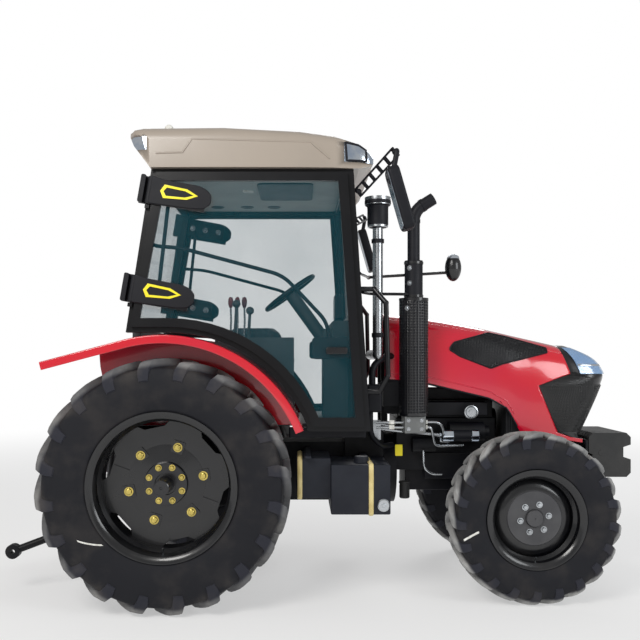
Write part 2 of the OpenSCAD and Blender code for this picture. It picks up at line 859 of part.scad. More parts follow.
placed() transmission();
placed() rear_axle();
placed() engine();
placed() engine_auxiliaries();
placed() radiator();
placed() front_frame();
placed() front_axle();
placed() front_weights();
placed() exhaust();
placed() air_intake();
placed() fuel_tank();
placed() battery_step();
placed() cab_floor();
placed() cab_sides();
placed() cab_crossbars();
placed() roof();
placed() roof_lamps();
placed() fixed_glass();
placed() fenders();
placed() seat();
placed() dashboard();
placed() steering_wheel();
placed() side_console();
placed() mirrors();
placed() front_mirror();
placed() grab_handles();
placed() hydraulic_pipes();
placed() hitch_bracket();
placed() drawbar();
placed() pto_shaft();
placed() hood_stand();
placed() hood_hinges();
placed() lower_links();
placed() lift_arms();
placed() lift_rods();
placed() knuckle(1);  // knuckle_left
placed() knuckle(-1);  // knuckle_right
placed() front_wheel_at(1) tyre(front_tyre_r, front_tyre_w, front_rim_r);  // tyre_front_left
placed() front_wheel_at(-1) tyre(front_tyre_r, front_tyre_w, front_rim_r);  // tyre_front_right
placed() rear_wheel_at(1) tyre(rear_tyre_r, rear_tyre_w, rear_rim_r);  // tyre_rear_left
placed() rear_wheel_at(-1) tyre(rear_tyre_r, rear_tyre_w, rear_rim_r);  // tyre_rear_right
placed() front_wheel_at(1) front_rim();  // rim_front_left
placed() front_wheel_at(-1) front_rim();  // rim_front_right
placed() rear_wheel_at(1) rear_rim();  // rim_rear_left
placed() rear_wheel_at(-1) rear_rim();  // rim_rear_right
placed() door_frame(1);  // door_frame_left
placed() door_frame(-1);  // door_frame_right
placed() door_glass(1);  // door_glass_left
placed() door_glass(-1);  // door_glass_right
placed() hood_shell();
placed() grille();
placed() headlamps();
placed() side_vents();
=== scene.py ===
"""Looks of a farm tractor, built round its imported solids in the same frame."""

import json
import math

import bmesh
import bpy
from bpy.props import FloatProperty, FloatVectorProperty, IntProperty, PointerProperty
from mathutils import Matrix, Vector

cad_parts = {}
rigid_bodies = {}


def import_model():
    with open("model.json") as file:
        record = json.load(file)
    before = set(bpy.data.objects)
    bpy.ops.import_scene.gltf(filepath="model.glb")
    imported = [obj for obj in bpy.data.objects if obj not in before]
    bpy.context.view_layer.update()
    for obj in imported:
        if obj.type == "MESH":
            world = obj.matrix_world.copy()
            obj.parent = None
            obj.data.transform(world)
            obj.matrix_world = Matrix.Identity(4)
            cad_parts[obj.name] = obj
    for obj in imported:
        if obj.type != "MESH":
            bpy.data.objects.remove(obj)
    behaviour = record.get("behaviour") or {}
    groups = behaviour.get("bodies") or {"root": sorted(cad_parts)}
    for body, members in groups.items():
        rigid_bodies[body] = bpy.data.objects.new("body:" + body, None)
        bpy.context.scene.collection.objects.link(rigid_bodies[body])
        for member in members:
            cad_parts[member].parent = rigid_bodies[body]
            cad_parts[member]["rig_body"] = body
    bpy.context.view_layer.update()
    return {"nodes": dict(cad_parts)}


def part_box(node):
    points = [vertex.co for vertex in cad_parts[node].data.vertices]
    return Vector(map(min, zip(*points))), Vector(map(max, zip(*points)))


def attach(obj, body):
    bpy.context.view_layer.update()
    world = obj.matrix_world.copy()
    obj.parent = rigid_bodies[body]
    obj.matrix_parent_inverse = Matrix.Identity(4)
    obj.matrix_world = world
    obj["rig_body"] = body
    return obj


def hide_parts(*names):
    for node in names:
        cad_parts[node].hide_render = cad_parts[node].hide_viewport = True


bl_info = {
    "name": "Farm tractor looks",
    "version": (1, 0, 0),
    "blender": (4, 5, 0),
    "location": "View3D > Sidebar > Tractor",
    "description": "Dresses the tractor's solids with tyres, panels, glass and fittings",
    "category": "Object",
}

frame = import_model()
NODES = frame["nodes"]
MM = 0.001
SIDES = (("right", -1), ("left", 1))


def middle(node):
    """Centre of a node's box."""
    low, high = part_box(node)
    return (low + high) / 2


REAR_AXLE = middle("tyre_rear_right")
FRONT_AXLE = middle("tyre_front_right")


def at(point):
    """A point in millimetres from the rear axle, moved into the frame."""
    x, y, z = point
    return Vector((x * MM + REAR_AXLE.x, y * MM, z * MM))


def linear(red, green, blue):
    """A screen colour of 0 to 255 as the numbers that a shader takes."""
    parts = (red / 255, green / 255, blue / 255)
    return tuple(c / 12.92 if c <= 0.04045 else ((c + 0.055) / 1.055) ** 2.4 for c in parts)


def between(a, b, t):
    return a + (b - a) * t


def straight(table, x):
    """Straight lines through a table of pairs."""
    for (x0, y0), (x1, y1) in zip(table, table[1:]):
        if x <= x1:
            return between(y0, y1, max(0.0, (x - x0) / (x1 - x0)))
    return table[-1][1]


def curve(table, x):
    """Smooth line through a table of pairs."""
    x = min(max(x, table[0][0]), table[-1][0])
    i = next((k for k in range(len(table) - 2) if x <= table[k + 1][0]), len(table) - 2)
    (x0, y0), (x1, y1) = table[i], table[i + 1]

    def rise(k):
        low, high = max(k - 1, 0), min(k + 1, len(table) - 1)
        return (table[high][1] - table[low][1]) / (table[high][0] - table[low][0])

    h = x1 - x0
    t = (x - x0) / h
    return (
        (2 * t**3 - 3 * t**2 + 1) * y0
        + (t**3 - 2 * t**2 + t) * h * rise(i)
        + (3 * t**2 - 2 * t**3) * y1
        + (t**3 - t**2) * h * rise(i + 1)
    )


# Sizes and colours that a user may change


def colour(name, text, default):
    return FloatVectorProperty(
        name=name, description=text, subtype="COLOR", size=3, min=0, max=1, default=default
    )


def size(name, text, default):
    return FloatProperty(name=name, description=text, default=default, unit="LENGTH")


def number(name, text, default):
    return IntProperty(name=name, description=text, default=default)


class TractorColours(bpy.types.PropertyGroup):
    """Colours of the main finishes."""

    red: colour("Body red", "Paint of the hood and the fenders", linear(206, 14, 36))
    deep_red: colour("Shaded red", "Second tone of the same paint", linear(196, 10, 52))
    black: colour("Frame black", "Paint of the cab frame and the rims", linear(8, 9, 14))
    cast: colour("Casting black", "Paint of the driveline", linear(11, 12, 19))
    rubber: colour("Rubber", "Tyres", linear(28, 29, 36))
    dust: colour("Dust", "Dry dust on the tyres and under the tractor", linear(112, 106, 100))
    roof: colour("Roof", "Moulded roof", linear(162, 151, 139))
    glass: colour("Glass", "Tint of the windows", linear(22, 92, 106))
    yellow: colour("Yellow trim", "Arrow outlines on the hinge covers", linear(250, 232, 30))
    zinc: colour("Yellow zinc", "Plating of the wheel bolts", linear(222, 200, 110))
    steel: colour("Steel", "Bright pipes and bolts", linear(196, 200, 204))
    lining: colour("Headliner", "Moulded lining of the cab", linear(176, 180, 176))


class TractorSizes(bpy.types.PropertyGroup):
    """Sizes of what the solids leave open."""

    rear_lug: size("Rear lug depth", "Height of a rear tyre lug", 0.046)
    front_lug: size("Front lug depth", "Height of a front tyre lug", 0.036)
    rear_lugs: number("Rear lugs", "Lugs on each side of a rear tyre", 20)
    front_lugs: number("Front lugs", "Lugs on each side of a front tyre", 21)
    bolt: size("Wheel bolt", "Width of a wheel bolt's head", 0.034)


def colours():
    return bpy.context.scene.tractor_colours


def sizes():
    return bpy.context.scene.tractor_sizes


# Shader kit


class Wire:
    """A socket that takes part in sums and products."""

    def __init__(self, paint, socket):
        self.paint, self.socket = paint, socket

    def _math(self, operation, first, second):
        return self.paint.node("ShaderNodeMath", {"operation": operation}, {0: first, 1: second})

    def __add__(self, other):
        return self._math("ADD", self, other)

    def __radd__(self, other):
        return self._math("ADD", other, self)

    def __sub__(self, other):
        return self._math("SUBTRACT", self, other)

    def __rsub__(self, other):
        return self._math("SUBTRACT", other, self)

    def __mul__(self, other):
        return self._math("MULTIPLY", self, other)

    def __rmul__(self, other):
        return self._math("MULTIPLY", other, self)

    def __truediv__(self, other):
        return self._math("DIVIDE", self, other)

    def __rtruediv__(self, other):
        return self._math("DIVIDE", other, self)

    def __pow__(self, other):
        return self._math("POWER", self, other)


class Paint:
    """One material and the nodes that feed its shader."""

    def __init__(self, name):
        self.material = bpy.data.materials.new(name)
        self.material.use_nodes = True
        self.tree = self.material.node_tree
        self.shader = next(n for n in self.tree.nodes if n.type == "BSDF_PRINCIPLED")
        self.place = self.node("ShaderNodeTexCoord", out="Object")

    def node(self, kind, sets=None, wires=None, out=0):
        """Adds a node: its settings first, then the values or links of its sockets."""
        made = self.tree.nodes.new(kind)
        for key, value in (sets or {}).items():
            setattr(made, key, value)
        for key, value in (wires or {}).items():
            self.feed(made.inputs[key], value)
        return Wire(self, made.outputs[out])

    def feed(self, socket, value):
        if isinstance(value, Wire):
            self.tree.links.new(value.socket, socket)
        elif socket.type == "RGBA" and len(value) == 3:
            socket.default_value = (*value, 1)
        else:
            socket.default_value = value

    def set(self, **wires):
        """Sets the shader's own sockets; an underscore stands for a space."""
        for key, value in wires.items():
            self.feed(self.shader.inputs[key.replace("_", " ")], value)
        return self

    def noise(self, scale, detail=3.0, vector=None):
        return self.node(
            "ShaderNodeTexNoise",
            wires={"Vector": vector or self.place, "Scale": scale, "Detail": detail},
            out="Fac",
        )

    def mix(self, factor, first, second):
        return self.node(
            "ShaderNodeMix", {"data_type": "RGBA"}, {0: factor, 6: first, 7: second}, out=2
        )

    def steps(self, value, low, high):
        """0 below low, 1 above high, smooth between them."""
        return self.node(
            "ShaderNodeMapRange",
            {"interpolation_type": "SMOOTHSTEP"},
            {"Value": value, "From Min": low, "From Max": high},
        )

    def part(self, axis):
        return self.node("ShaderNodeSeparateXYZ", wires={0: self.place}, out=axis)

    def bump(self, height, strength, distance):
        self.set(
            Normal=self.node(
                "ShaderNodeBump",
                wires={"Height": height, "Strength": strength, "Distance": distance},
            )
        )
        return self


def finish(name, main, second, rough, grain=(300, 0.15, 0.0006), cloud=2.5, dust=None, **fixed):
    """A finish with two tones, uneven gloss, a fine grain and dust towards the ground."""
    paint = Paint(name)
    cloudy = paint.noise(cloud, 4)
    tone = paint.mix(paint.steps(cloudy, 0.35, 0.68), main, second)
    gloss = rough + (paint.noise(cloud * 4, 5) - 0.5) * min(0.24, rough * 0.7)
    if dust:
        shade, top, share = dust
        low = 1 - paint.steps(paint.part("Z"), 0.1, top)
        film = low * paint.steps(paint.noise(9, 6), 0.4, 0.75) * share
        tone = paint.mix(film, tone, shade)
        gloss = gloss + film * 0.4
    paint.set(Base_Color=tone, Roughness=gloss, **fixed)
    scale, strength, distance = grain
    return paint.bump(paint.noise(scale, 2), strength, distance)


PAINTS = {}


def paint(name):
    return PAINTS[name].material


def mix_paints():
    """Makes every finish once."""
    c = colours()
    dark = tuple(x * 0.6 for x in c.black)
    made = {
        "red": finish("red_paint", c.red, c.deep_red, 0.2, (600, 0.04, 0.0004), 0.9,
                      Coat_Weight=0.9, Coat_Roughness=0.06),
        "black": finish("black_paint", c.black, dark, 0.32, (500, 0.06, 0.0004), 1.5,
                        (c.dust, 0.9, 0.08), Coat_Weight=0.25, Coat_Roughness=0.15,
                        Specular_IOR_Level=0.25),
        "gloss": finish("gloss_black", dark, c.black, 0.3, (300, 0.03, 0.0004), 2.0,
                        (c.dust, 0.7, 0.05), Coat_Weight=0.45, Coat_Roughness=0.1),
        "cast": finish("cast_black", c.cast, dark, 0.45, (160, 0.3, 0.0012), 4.0,
                       (c.dust, 1.0, 0.12), Specular_IOR_Level=0.25),
        "grey": finish("hub_grey", linear(72, 72, 74), linear(60, 60, 63), 0.42,
                       (400, 0.12, 0.0005), 6.0),
        "plastic": finish("moulded_black", linear(16, 17, 23), linear(22, 23, 29), 0.5,
                          (700, 0.25, 0.0005), 3.0, Specular_IOR_Level=0.25),
        "tank": finish("tank_plastic", linear(36, 39, 47), linear(28, 30, 38), 0.5,
                       (500, 0.22, 0.0006), 3.0, (c.dust, 0.9, 0.12), Specular_IOR_Level=0.25),
        "inside": finish("cab_plastic", linear(58, 62, 66), linear(48, 52, 56), 0.55,
                         (600, 0.3, 0.0005), 4.0),
        "roof": finish("roof_moulding", c.roof, tuple(x * 0.9 for x in c.roof), 0.36,
                       (500, 0.06, 0.0004), 1.6, Coat_Weight=0.3, Coat_Roughness=0.2),
        "lining": finish("headliner", c.lining, tuple(x * 0.88 for x in c.lining), 0.8,
                         (900, 0.3, 0.0006), 5.0),
        "steel": finish("bright_steel", c.steel, tuple(x * 0.75 for x in c.steel), 0.26,
                        (300, 0.05, 0.0003), 8.0, Metallic=1.0),
        "zinc": finish("yellow_zinc", c.zinc, tuple(x * 0.7 for x in c.zinc), 0.3,
                       (500, 0.08, 0.0003), 30.0, Metallic=0.85),
        "yellow": finish("yellow_trim", c.yellow, tuple(x * 0.92 for x in c.yellow), 0.4,
                         (500, 0.05, 0.0003), 6.0),
        "white": finish("white_mark", linear(235, 235, 230), linear(205, 203, 196), 0.7,
                        (300, 0.3, 0.0008), 40.0),
        "cream": finish("strap_cream", linear(226, 208, 148), linear(196, 176, 116), 0.5,
                        (400, 0.15, 0.0005), 12.0),
        "knob": finish("knob_red", linear(120, 34, 42), linear(92, 26, 34), 0.35,
                       (400, 0.08, 0.0004), 12.0),
        "iron": finish("weight_iron", linear(40, 40, 40), linear(30, 31, 32), 0.55,
                       (140, 0.35, 0.0014), 5.0, (c.dust, 1.1, 0.15)),
        "alloy": finish("brushed_alloy", linear(150, 152, 150), linear(118, 120, 120), 0.42,
                        (220, 0.2, 0.0006), 9.0, Metallic=0.7),
        # The bluish tones of the reflector finish are painted sky reflection on the metal.
        "chrome": finish("reflector", linear(225, 232, 240), linear(190, 205, 225), 0.12,
                         (60, 0.1, 0.001), 14.0, Metallic=1.0),
        "fins": finish("radiator_fins", linear(46, 48, 52), linear(30, 31, 34), 0.5,
                       (200, 0.4, 0.001), 3.0, Metallic=0.5),
    }
    PAINTS.update(made)
    PAINTS["glass"] = window_glass("window_glass", c.glass, 0.13)
    PAINTS["lens"] = window_glass("lamp_lens", linear(150, 186, 226), 0.3)
    # The lugs take a lighter copy of each tyre's rubber and the carcass a darker copy, as painted
    # highlight and painted shade; pale is the share of the painted highlight band on the lug tops.
    for name, axle, pale in (("rear", REAR_AXLE, 0.35), ("front", FRONT_AXLE, 0.8)):
        PAINTS["rubber_" + name] = rubber(name + "_rubber", axle, c, 0.75, 0.0)
        PAINTS["lugs_" + name] = rubber(name + "_lugs", axle, c, 1.9, pale)
    PAINTS["cloth"] = seat_cloth()


def window_glass(name, tint, cover):
    """Clear tinted glass, denser and glossier where it is seen at a slant."""
    paint = Paint(name)
    slant = paint.node("ShaderNodeLayerWeight", wires={"Blend": 0.35}, out="Facing")
    film = paint.steps(paint.noise(1.6, 4), 0.3, 0.8) * 0.05
    paint.set(Base_Color=tint, Roughness=0.03, Alpha=cover + film + slant * 0.25)
    paint.set(Coat_Weight=0.3, Coat_Roughness=0.02)
    return paint


def rubber(name, axle, c, painted_light_level, pale):
    """Tyre rubber with rings moulded into the sidewall and dust in the hollows; the rubber is made
    lighter on the lugs as painted highlight and darker on the carcass as painted shade, with a pale
    painted highlight band on the lug tops.
    """
    paint = Paint(name)
    moved = paint.node(
        "ShaderNodeVectorMath",
        {"operation": "SUBTRACT"},
        {0: paint.place, 1: (axle.x, 0, axle.z)},
    )
    flat = paint.node("ShaderNodeVectorMath", {"operation": "MULTIPLY"}, {0: moved, 1: (1, 0, 1)})
    radius = paint.node("ShaderNodeVectorMath", {"operation": "LENGTH"}, {0: flat}, out="Value")
    patches = paint.steps(paint.noise(7, 6), 0.42, 0.74)
    rim = paint.steps(radius, axle.z * 0.82, axle.z * 1.0)
    # The rubber tone is scaled up for the lugs as painted highlight and down for the carcass as
    # painted shade.
    main, second = (tuple(x * k * painted_light_level for x in c.rubber) for k in (1.0, 0.72))
    tone = paint.mix(paint.noise(3, 4), main, second)
    tone = paint.mix(patches * (0.12 + rim * 0.3), tone, tuple(c.dust))
    # Pale band on the lug tops near the crown, weighted by pale: painted highlight.
    crown = paint.steps(radius, axle.z * 0.925, axle.z * 0.965)
    tone = paint.mix(crown * (0.6 + patches * 0.4) * pale, tone, linear(190, 190, 188))
    paint.set(Base_Color=tone, Roughness=0.72 + patches * 0.16, Specular_IOR_Level=0.3)
    rings = paint.node("ShaderNodeMath", {"operation": "SINE"}, {0: radius * 900.0})
    height = paint.noise(220, 3) + rings * 0.12
    return paint.bump(height, 0.3, 0.001)


def seat_cloth():
    """Dark woven seat cloth."""
    paint = Paint("seat_cloth")
    weave = paint.node(
        "ShaderNodeTexChecker",
        wires={"Vector": paint.place, "Scale": 420.0},
        out="Fac",
    )
    tone = paint.mix(weave * 0.5 + paint.noise(30, 4) * 0.5, linear(36, 40, 46), linear(60, 66, 74))
    paint.set(Base_Color=tone, Roughness=0.85)
    paint.set(Sheen_Weight=0.3)
    return paint.bump(weave + paint.noise(160, 3), 0.35, 0.0008)


# Mesh kit


class Form:
    """Points and faces of one piece, in millimetres from the rear axle."""

    def __init__(self):
        self.points, self.faces = [], []

    def add(self, points, faces):
        base = len(self.points)
        self.points += [Vector(p) for p in points]
        self.faces += [[base + i for i in face] for face in faces]
        return self

    def net(self, rows, round_rows=False, round_columns=False):
        """Faces between rows of points, closed round on themselves where asked."""
        m, n = len(rows), len(rows[0])
        faces = []
        for j in range(m if round_rows else m - 1):
            for i in range(n if round_columns else n - 1):
                j1, i1 = (j + 1) % m, (i + 1) % n
                faces.append((j * n + i, j * n + i1, j1 * n + i1, j1 * n + i))
        return self.add([p for row in rows for p in row], faces)

    def loft(self, rings):
        """A solid through closed rings of points, with flat ends."""
        n, base = len(rings[0]), len(self.points)
        self.net(rings, round_columns=True)
        last = base + (len(rings) - 1) * n
        self.faces += [[base + i for i in range(n)], [last + i for i in reversed(range(n))]]
        return self

    def slab(self, outline, place, low, high):
        """A flat outline of (u, v) points given thickness by place(u, v, w)."""
        return self.loft([[place(u, v, w) for u, v in outline] for w in (low, high)])

    def box(self, low, high):
        (x0, y0, z0), (x1, y1, z1) = low, high
        return self.slab([(x0, y0), (x1, y0), (x1, y1), (x0, y1)], flat, z0, z1)

    def rod(self, path, radius, sides=12):
        """A round rod along a path; radius may be a list, one for each point."""
        path = [Vector(p) for p in path]
        radii = radius if isinstance(radius, (list, tuple)) else [radius] * len(path)
        way = (path[1] - path[0]).normalized()
        across = way.orthogonal().normalized()
        rings = []
        for i, p in enumerate(path):
            a, b = path[max(i - 1, 0)], path[min(i + 1, len(path) - 1)]
            turn = (b - a).normalized()
            across = (across - turn * across.dot(turn)).normalized()
            up = turn.cross(across)
            steps = [2 * math.pi * k / sides for k in range(sides)]
            rings.append([p + radii[i] * (math.cos(t) * across + math.sin(t) * up) for t in steps])
        return self.loft(rings)

    def lathe(self, profile, centre, axis, steps=64, closed=False):
        """A profile of (radius, height) pairs turned about an axis through centre."""
        axis = Vector(axis).normalized()
        across = axis.orthogonal().normalized()
        up = axis.cross(across)
        centre = Vector(centre)
        rows = []
        for k in range(steps):
            t = 2 * math.pi * k / steps
            out = math.cos(t) * across + math.sin(t) * up
            rows.append([centre + axis * h + out * r for r, h in profile])
        return self.net(rows, round_rows=True, round_columns=closed)

    def turned(self, profile, x, y, steps, closed=False):
        """A profile of (radius, height) pairs turned about an upright axis."""
        return self.lathe(profile, (x, y, 0), (0, 0, 1), steps, closed)

    def moved(self, change):
        self.points = [change @ p for p in self.points]
        return self

    def join(self, other):
        return self.add(other.points, other.faces)

    def mirrored(self):
        """The same on the other side of the tractor."""
        made = Form()
        made.points = [Vector((p.x, -p.y, p.z)) for p in self.points]
        made.faces = [list(reversed(face)) for face in self.faces]
        return made


def on_side(form, sign):
    """A form drawn for the right side, put on the right (-1) or the left (1)."""
    return form if sign < 0 else form.mirrored()


def arc(before, corner, after, radius, steps):
    """Points that round one corner."""
    a, b = before - corner, after - corner
    cut = min(radius, a.length * 0.45, b.length * 0.45)
    start, end = corner + a.normalized() * cut, corner + b.normalized() * cut
    shares = [k / steps for k in range(steps + 1)]
    return [(1 - t) ** 2 * start + 2 * t * (1 - t) * corner + t * t * end for t in shares]


def bent(points, radius, steps=6):
    """A path with its corners rounded."""
    points = [Vector(p) for p in points]
    made = [points[0]]
    for before, corner, after in zip(points, points[1:], points[2:]):
        made += arc(before, corner, after, radius, steps)
    return made + [points[-1]]


def round_outline(points, radius, steps=4):
    """A closed outline with its corners rounded."""
    points = [Vector(p) for p in points]
    made = []
    for i, corner in enumerate(points):
        after = points[(i + 1) % len(points)]
        made += [(p.x, p.y) for p in arc(points[i - 1], corner, after, radius, steps)]
    return made


def rectangle(u0, v0, u1, v1, radius):
    return round_outline([(u0, v0), (u1, v0), (u1, v1), (u0, v1)], radius)


def plain_mesh(obj):
    """Turns an object with modifiers into one with the result as its mesh."""
    graph = bpy.context.evaluated_depsgraph_get()
    mesh = bpy.data.meshes.new_from_object(obj.evaluated_get(graph))
    old = obj.data
    obj.modifiers.clear()
    obj.data = mesh
    bpy.data.meshes.remove(old)
    mesh.name = obj.name


def settle(obj, coat, body, slot, angle, stands_for):
    """Material, shading and place of a finished piece."""
    mesh = obj.data
    mesh.materials.clear()
    mesh.materials.append(paint(coat))
    mesh.polygons.foreach_set("use_smooth", [True] * len(mesh.polygons))
    mesh.set_sharp_from_angle(angle=math.radians(angle))
    weigh = obj.modifiers.new("even_normals", "WEIGHTED_NORMAL")
    weigh.keep_sharp = True
    plain_mesh(obj)
    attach(obj, body)
    if stands_for:
        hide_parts(*stands_for)
    return obj


def rounded(bm, width, segments, limit=28):
    """Rounds the sharp edges of a mesh."""
    sharp = [e for e in bm.edges if e.is_manifold and e.calc_face_angle(0) > math.radians(limit)]
    bmesh.ops.bevel(
        bm, geom=sharp, offset=width * MM, segments=segments, profile=0.5,
        affect="EDGES", clamp_overlap=True,
    )


def drawn(name, points, faces, weld=0.0, bevel=0.0, segments=2):
    """An object from points and faces, its normals outwards and its sharp edges rounded."""
    mesh = bpy.data.meshes.new(name)
    mesh.from_pydata(points, [], faces)
    bm = bmesh.new()
    bm.from_mesh(mesh)
    if weld:
        bmesh.ops.remove_doubles(bm, verts=bm.verts, dist=weld)
    bmesh.ops.recalc_face_normals(bm, faces=bm.faces)
    if bevel:
        rounded(bm, bevel, segments)
    bm.to_mesh(mesh)
    bm.free()
    obj = bpy.data.objects.new(name, mesh)
    bpy.context.scene.collection.objects.link(obj)
    return obj


def make(name, form, coat, body, slot, bevel=0.0, wall=0.0, angle=35, segments=2, stands_for=()):
    """Builds one piece from a form and lets it ride on a body."""
    obj = drawn(name, [at(p) for p in form.points], form.faces, 1e-5, bevel, segments)
    if wall:
        sheet = obj.modifiers.new("wall", "SOLIDIFY")
        sheet.thickness, sheet.offset = abs(wall) * MM, 1 if wall > 0 else -1
    return settle(obj, coat, body, slot, angle, stands_for)


def pair(name, form, coat, body, slot, stands_for=(), **more):
    """A piece on the right and its mirror image on the left; {} in a name is the side."""
    for side, sign in SIDES:
        stands = stands_for if sign < 0 else ()
        make(name.format(side), on_side(form, sign), coat, body.format(side), slot,
             stands_for=stands, **more)


def dress(node, coat, slot, bevel, angle=35):
    """A copy of a solid with rounded edges and its finish, standing for the solid."""
    source = NODES[node]
    mesh = source.data.copy()
    bm = bmesh.new()
    bm.from_mesh(mesh)
    bmesh.ops.remove_doubles(bm, verts=bm.verts, dist=2e-5)
    bmesh.ops.dissolve_limit(
        bm, angle_limit=math.radians(0.6), verts=bm.verts, edges=bm.edges,
        use_dissolve_boundaries=False,
    )
    if bevel:
        rounded(bm, bevel, 2)
    bm.to_mesh(mesh)
    bm.free()
    obj = bpy.data.objects.new(node + "_dressed", mesh)
    bpy.context.scene.collection.objects.link(obj)
    return settle(obj, coat, source["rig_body"], slot, angle, [node])


# One tree repeats a unit round an axis


def repeat_tree():
    """Geometry nodes that place a unit count times, each a turn further."""
    tree = bpy.data.node_groups.get("repeated_units")
    if tree:
        return tree
    tree = bpy.data.node_groups.new("repeated_units", "GeometryNodeTree")
    for name, kind in (
        ("Unit", "Object"), ("Count", "Int"), ("Start", "Vector"), ("Axis", "Vector"),
        ("First", "Float"), ("Turn", "Float"), ("Paint", "Material"),
    ):
        tree.interface.new_socket(name=name, in_out="INPUT", socket_type="NodeSocket" + kind)
    tree.interface.new_socket(name="Geometry", in_out="OUTPUT", socket_type="NodeSocketGeometry")

    def add(kind, wires=(), operation=None):
        node = tree.nodes.new(kind)
        if operation:
            node.operation = operation
        for socket, source in wires:
            tree.links.new(source, node.inputs[socket])
        return node.outputs

    given = add("NodeGroupInput")
    index = add("GeometryNodeInputIndex")[0]
    unit = add("GeometryNodeObjectInfo", [("Object", given["Unit"])])["Geometry"]
    sums = [(0, index), (1, given["Turn"]), (2, given["First"])]
    angle = add("ShaderNodeMath", sums, "MULTIPLY_ADD")[0]
    turn = add("FunctionNodeAxisAngleToRotation", [("Axis", given["Axis"]), ("Angle", angle)])[0]
    points = add("GeometryNodePoints", [("Count", given["Count"]), ("Position", given["Start"])])[0]
    laid = [("Points", points), ("Instance", unit), ("Rotation", turn)]
    real = add("GeometryNodeRealizeInstances", [(0, add("GeometryNodeInstanceOnPoints", laid)[0])])[0]
    coat = add("GeometryNodeSetMaterial", [("Geometry", real), ("Material", given["Paint"])])[0]
    add("NodeGroupOutput", [(0, coat)])
    return tree


def repeat(name, unit, count, start, coat, body, slot, first=0.0, angle=35):
    """A ring of equal units about an axle; the unit is drawn about its own origin in millimetres."""
    one = drawn("unit", [p * MM for p in unit.points], unit.faces, 1e-6)
    obj = bpy.data.objects.new(name, bpy.data.meshes.new(name))
    bpy.context.scene.collection.objects.link(obj)
    tree = repeat_tree()
    made = obj.modifiers.new("repeated", "NODES")
    made.node_group = tree
    values = {
        "Unit": one, "Count": count, "Start": at(start), "Axis": Vector((0, 1, 0)),
        "First": first, "Turn": 2 * math.pi / count, "Paint": paint(coat),
    }
    for item in tree.interface.items_tree:
        if item.in_out == "INPUT":
            value = values[item.name]
            made[item.identifier] = tuple(value) if isinstance(value, Vector) else value
    plain_mesh(obj)
    bpy.data.objects.remove(one)
    return settle(obj, coat, body, slot, angle, ())


def bolt_unit(width, height, way, out=0.0, washer=1.5):
    """A hexagon head on a washer, standing along way, moved out from the origin square to it."""
    way = Vector(way).normalized()
    shift = Vector((0, 0, 1)) if abs(way.z) < 0.9 else Vector((1, 0, 0))
    r = width / 2
    form = Form()
    form.lathe([(0, 0), (r * washer, 0), (r * washer, 2.5), (r * 1.02, 2.5)], shift * out, way, 18)
    form.lathe([(r, 2.5), (r, height - 1.5), (r * 0.86, height), (0, height)], shift * out, way, 6)
    return form


# Tyres and rims

WHEELS = (("rear_right", -1), ("rear_left", 1), ("front_right", -1), ("front_left", 1))


def wheel_middle(which):
    """Middle of a wheel in millimetres from the rear axle."""
    c = middle("tyre_" + which)
    return ((c.x - REAR_AXLE.x) / MM, c.y / MM, c.z / MM)


def wheel_sizes(which):
    """Outer radius, width and rim radius of a tyre."""
    low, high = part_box("tyre_" + which)
    rim_low, rim_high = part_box("rim_" + which)
    rim = (rim_high.z - rim_low.z) / 2 / MM - 25
    return (high.z - low.z) / 2 / MM, (high.y - low.y) / MM, rim


def carcass(r, w, rim, depth):
    """Half of the tyre's outline as (radius, distance from the middle), bead to crown."""
    base, h = r - depth, r - rim
    knots = [
        (rim + 3, w * 0.4), (rim + 26, w * 0.424), (rim + 0.14 * h, w * 0.45),
        (rim + 0.3 * h, w * 0.485), (rim + 0.48 * h, w * 0.497), (rim + 0.66 * h, w * 0.486),
        (base - 0.1 * h, w * 0.468), (base - 0.03 * h, w * 0.44), (base, w * 0.37),
        (base + 4, w * 0.2), (base + 5, 0),
    ]
    lines = [[(j, knot[a]) for j, knot in enumerate(knots)] for a in (0, 1)]
    steps = 5
    made = [
        tuple(curve(line, i + k / steps) for line in lines)
        for i in range(len(knots) - 1)
        for k in range(steps)
    ]
    return made + [knots[-1]]


def lug(r, w, rim, depth, sign, lean):
    """One tread bar from the middle to the shoulder and down the sidewall."""
    h = r - rim
    stations = [
        (-0.035, 0, 0.40, 0.50), (0.09, 0, 0.44, 0.56), (0.2, 1, 0.48, 0.60),
        (0.3, 3, 0.52, 0.66), (0.39, 8, 0.58, 0.74), (0.44, 17, 0.62, 0.8),
        (0.470, 0.14 * h, 0.62, 0.8), (0.486, 0.24 * h, 0.58, 0.74), (0.494, 0.36 * h, 0.46, 0.56),
    ]
    rings = []
    for k, (across, drop, top, foot) in enumerate(stations):
        mid = lean * (1 - (max(across, 0) / 0.49) ** 1.2)
        high = r - drop
        low = min(high - 12, r - depth - 10)
        side = across + (0.006 if k >= 6 else 0)
        inset = 0 if k < 6 else (k - 5) * 0.006 * w
        ring = []
        for radius, half in (
            (low, -foot), (high - 7, -top - 0.05), (high, -top + 0.05),
            (high, top - 0.05), (high - 7, top + 0.05), (low, foot),
        ):
            turn = mid + half * depth / radius
            tuck = inset + 9 if radius == low and k >= 5 else 0
            ring.append((radius * math.sin(turn), sign * (side * w - tuck), radius * math.cos(turn)))
        rings.append(ring)
    return Form().loft(rings)


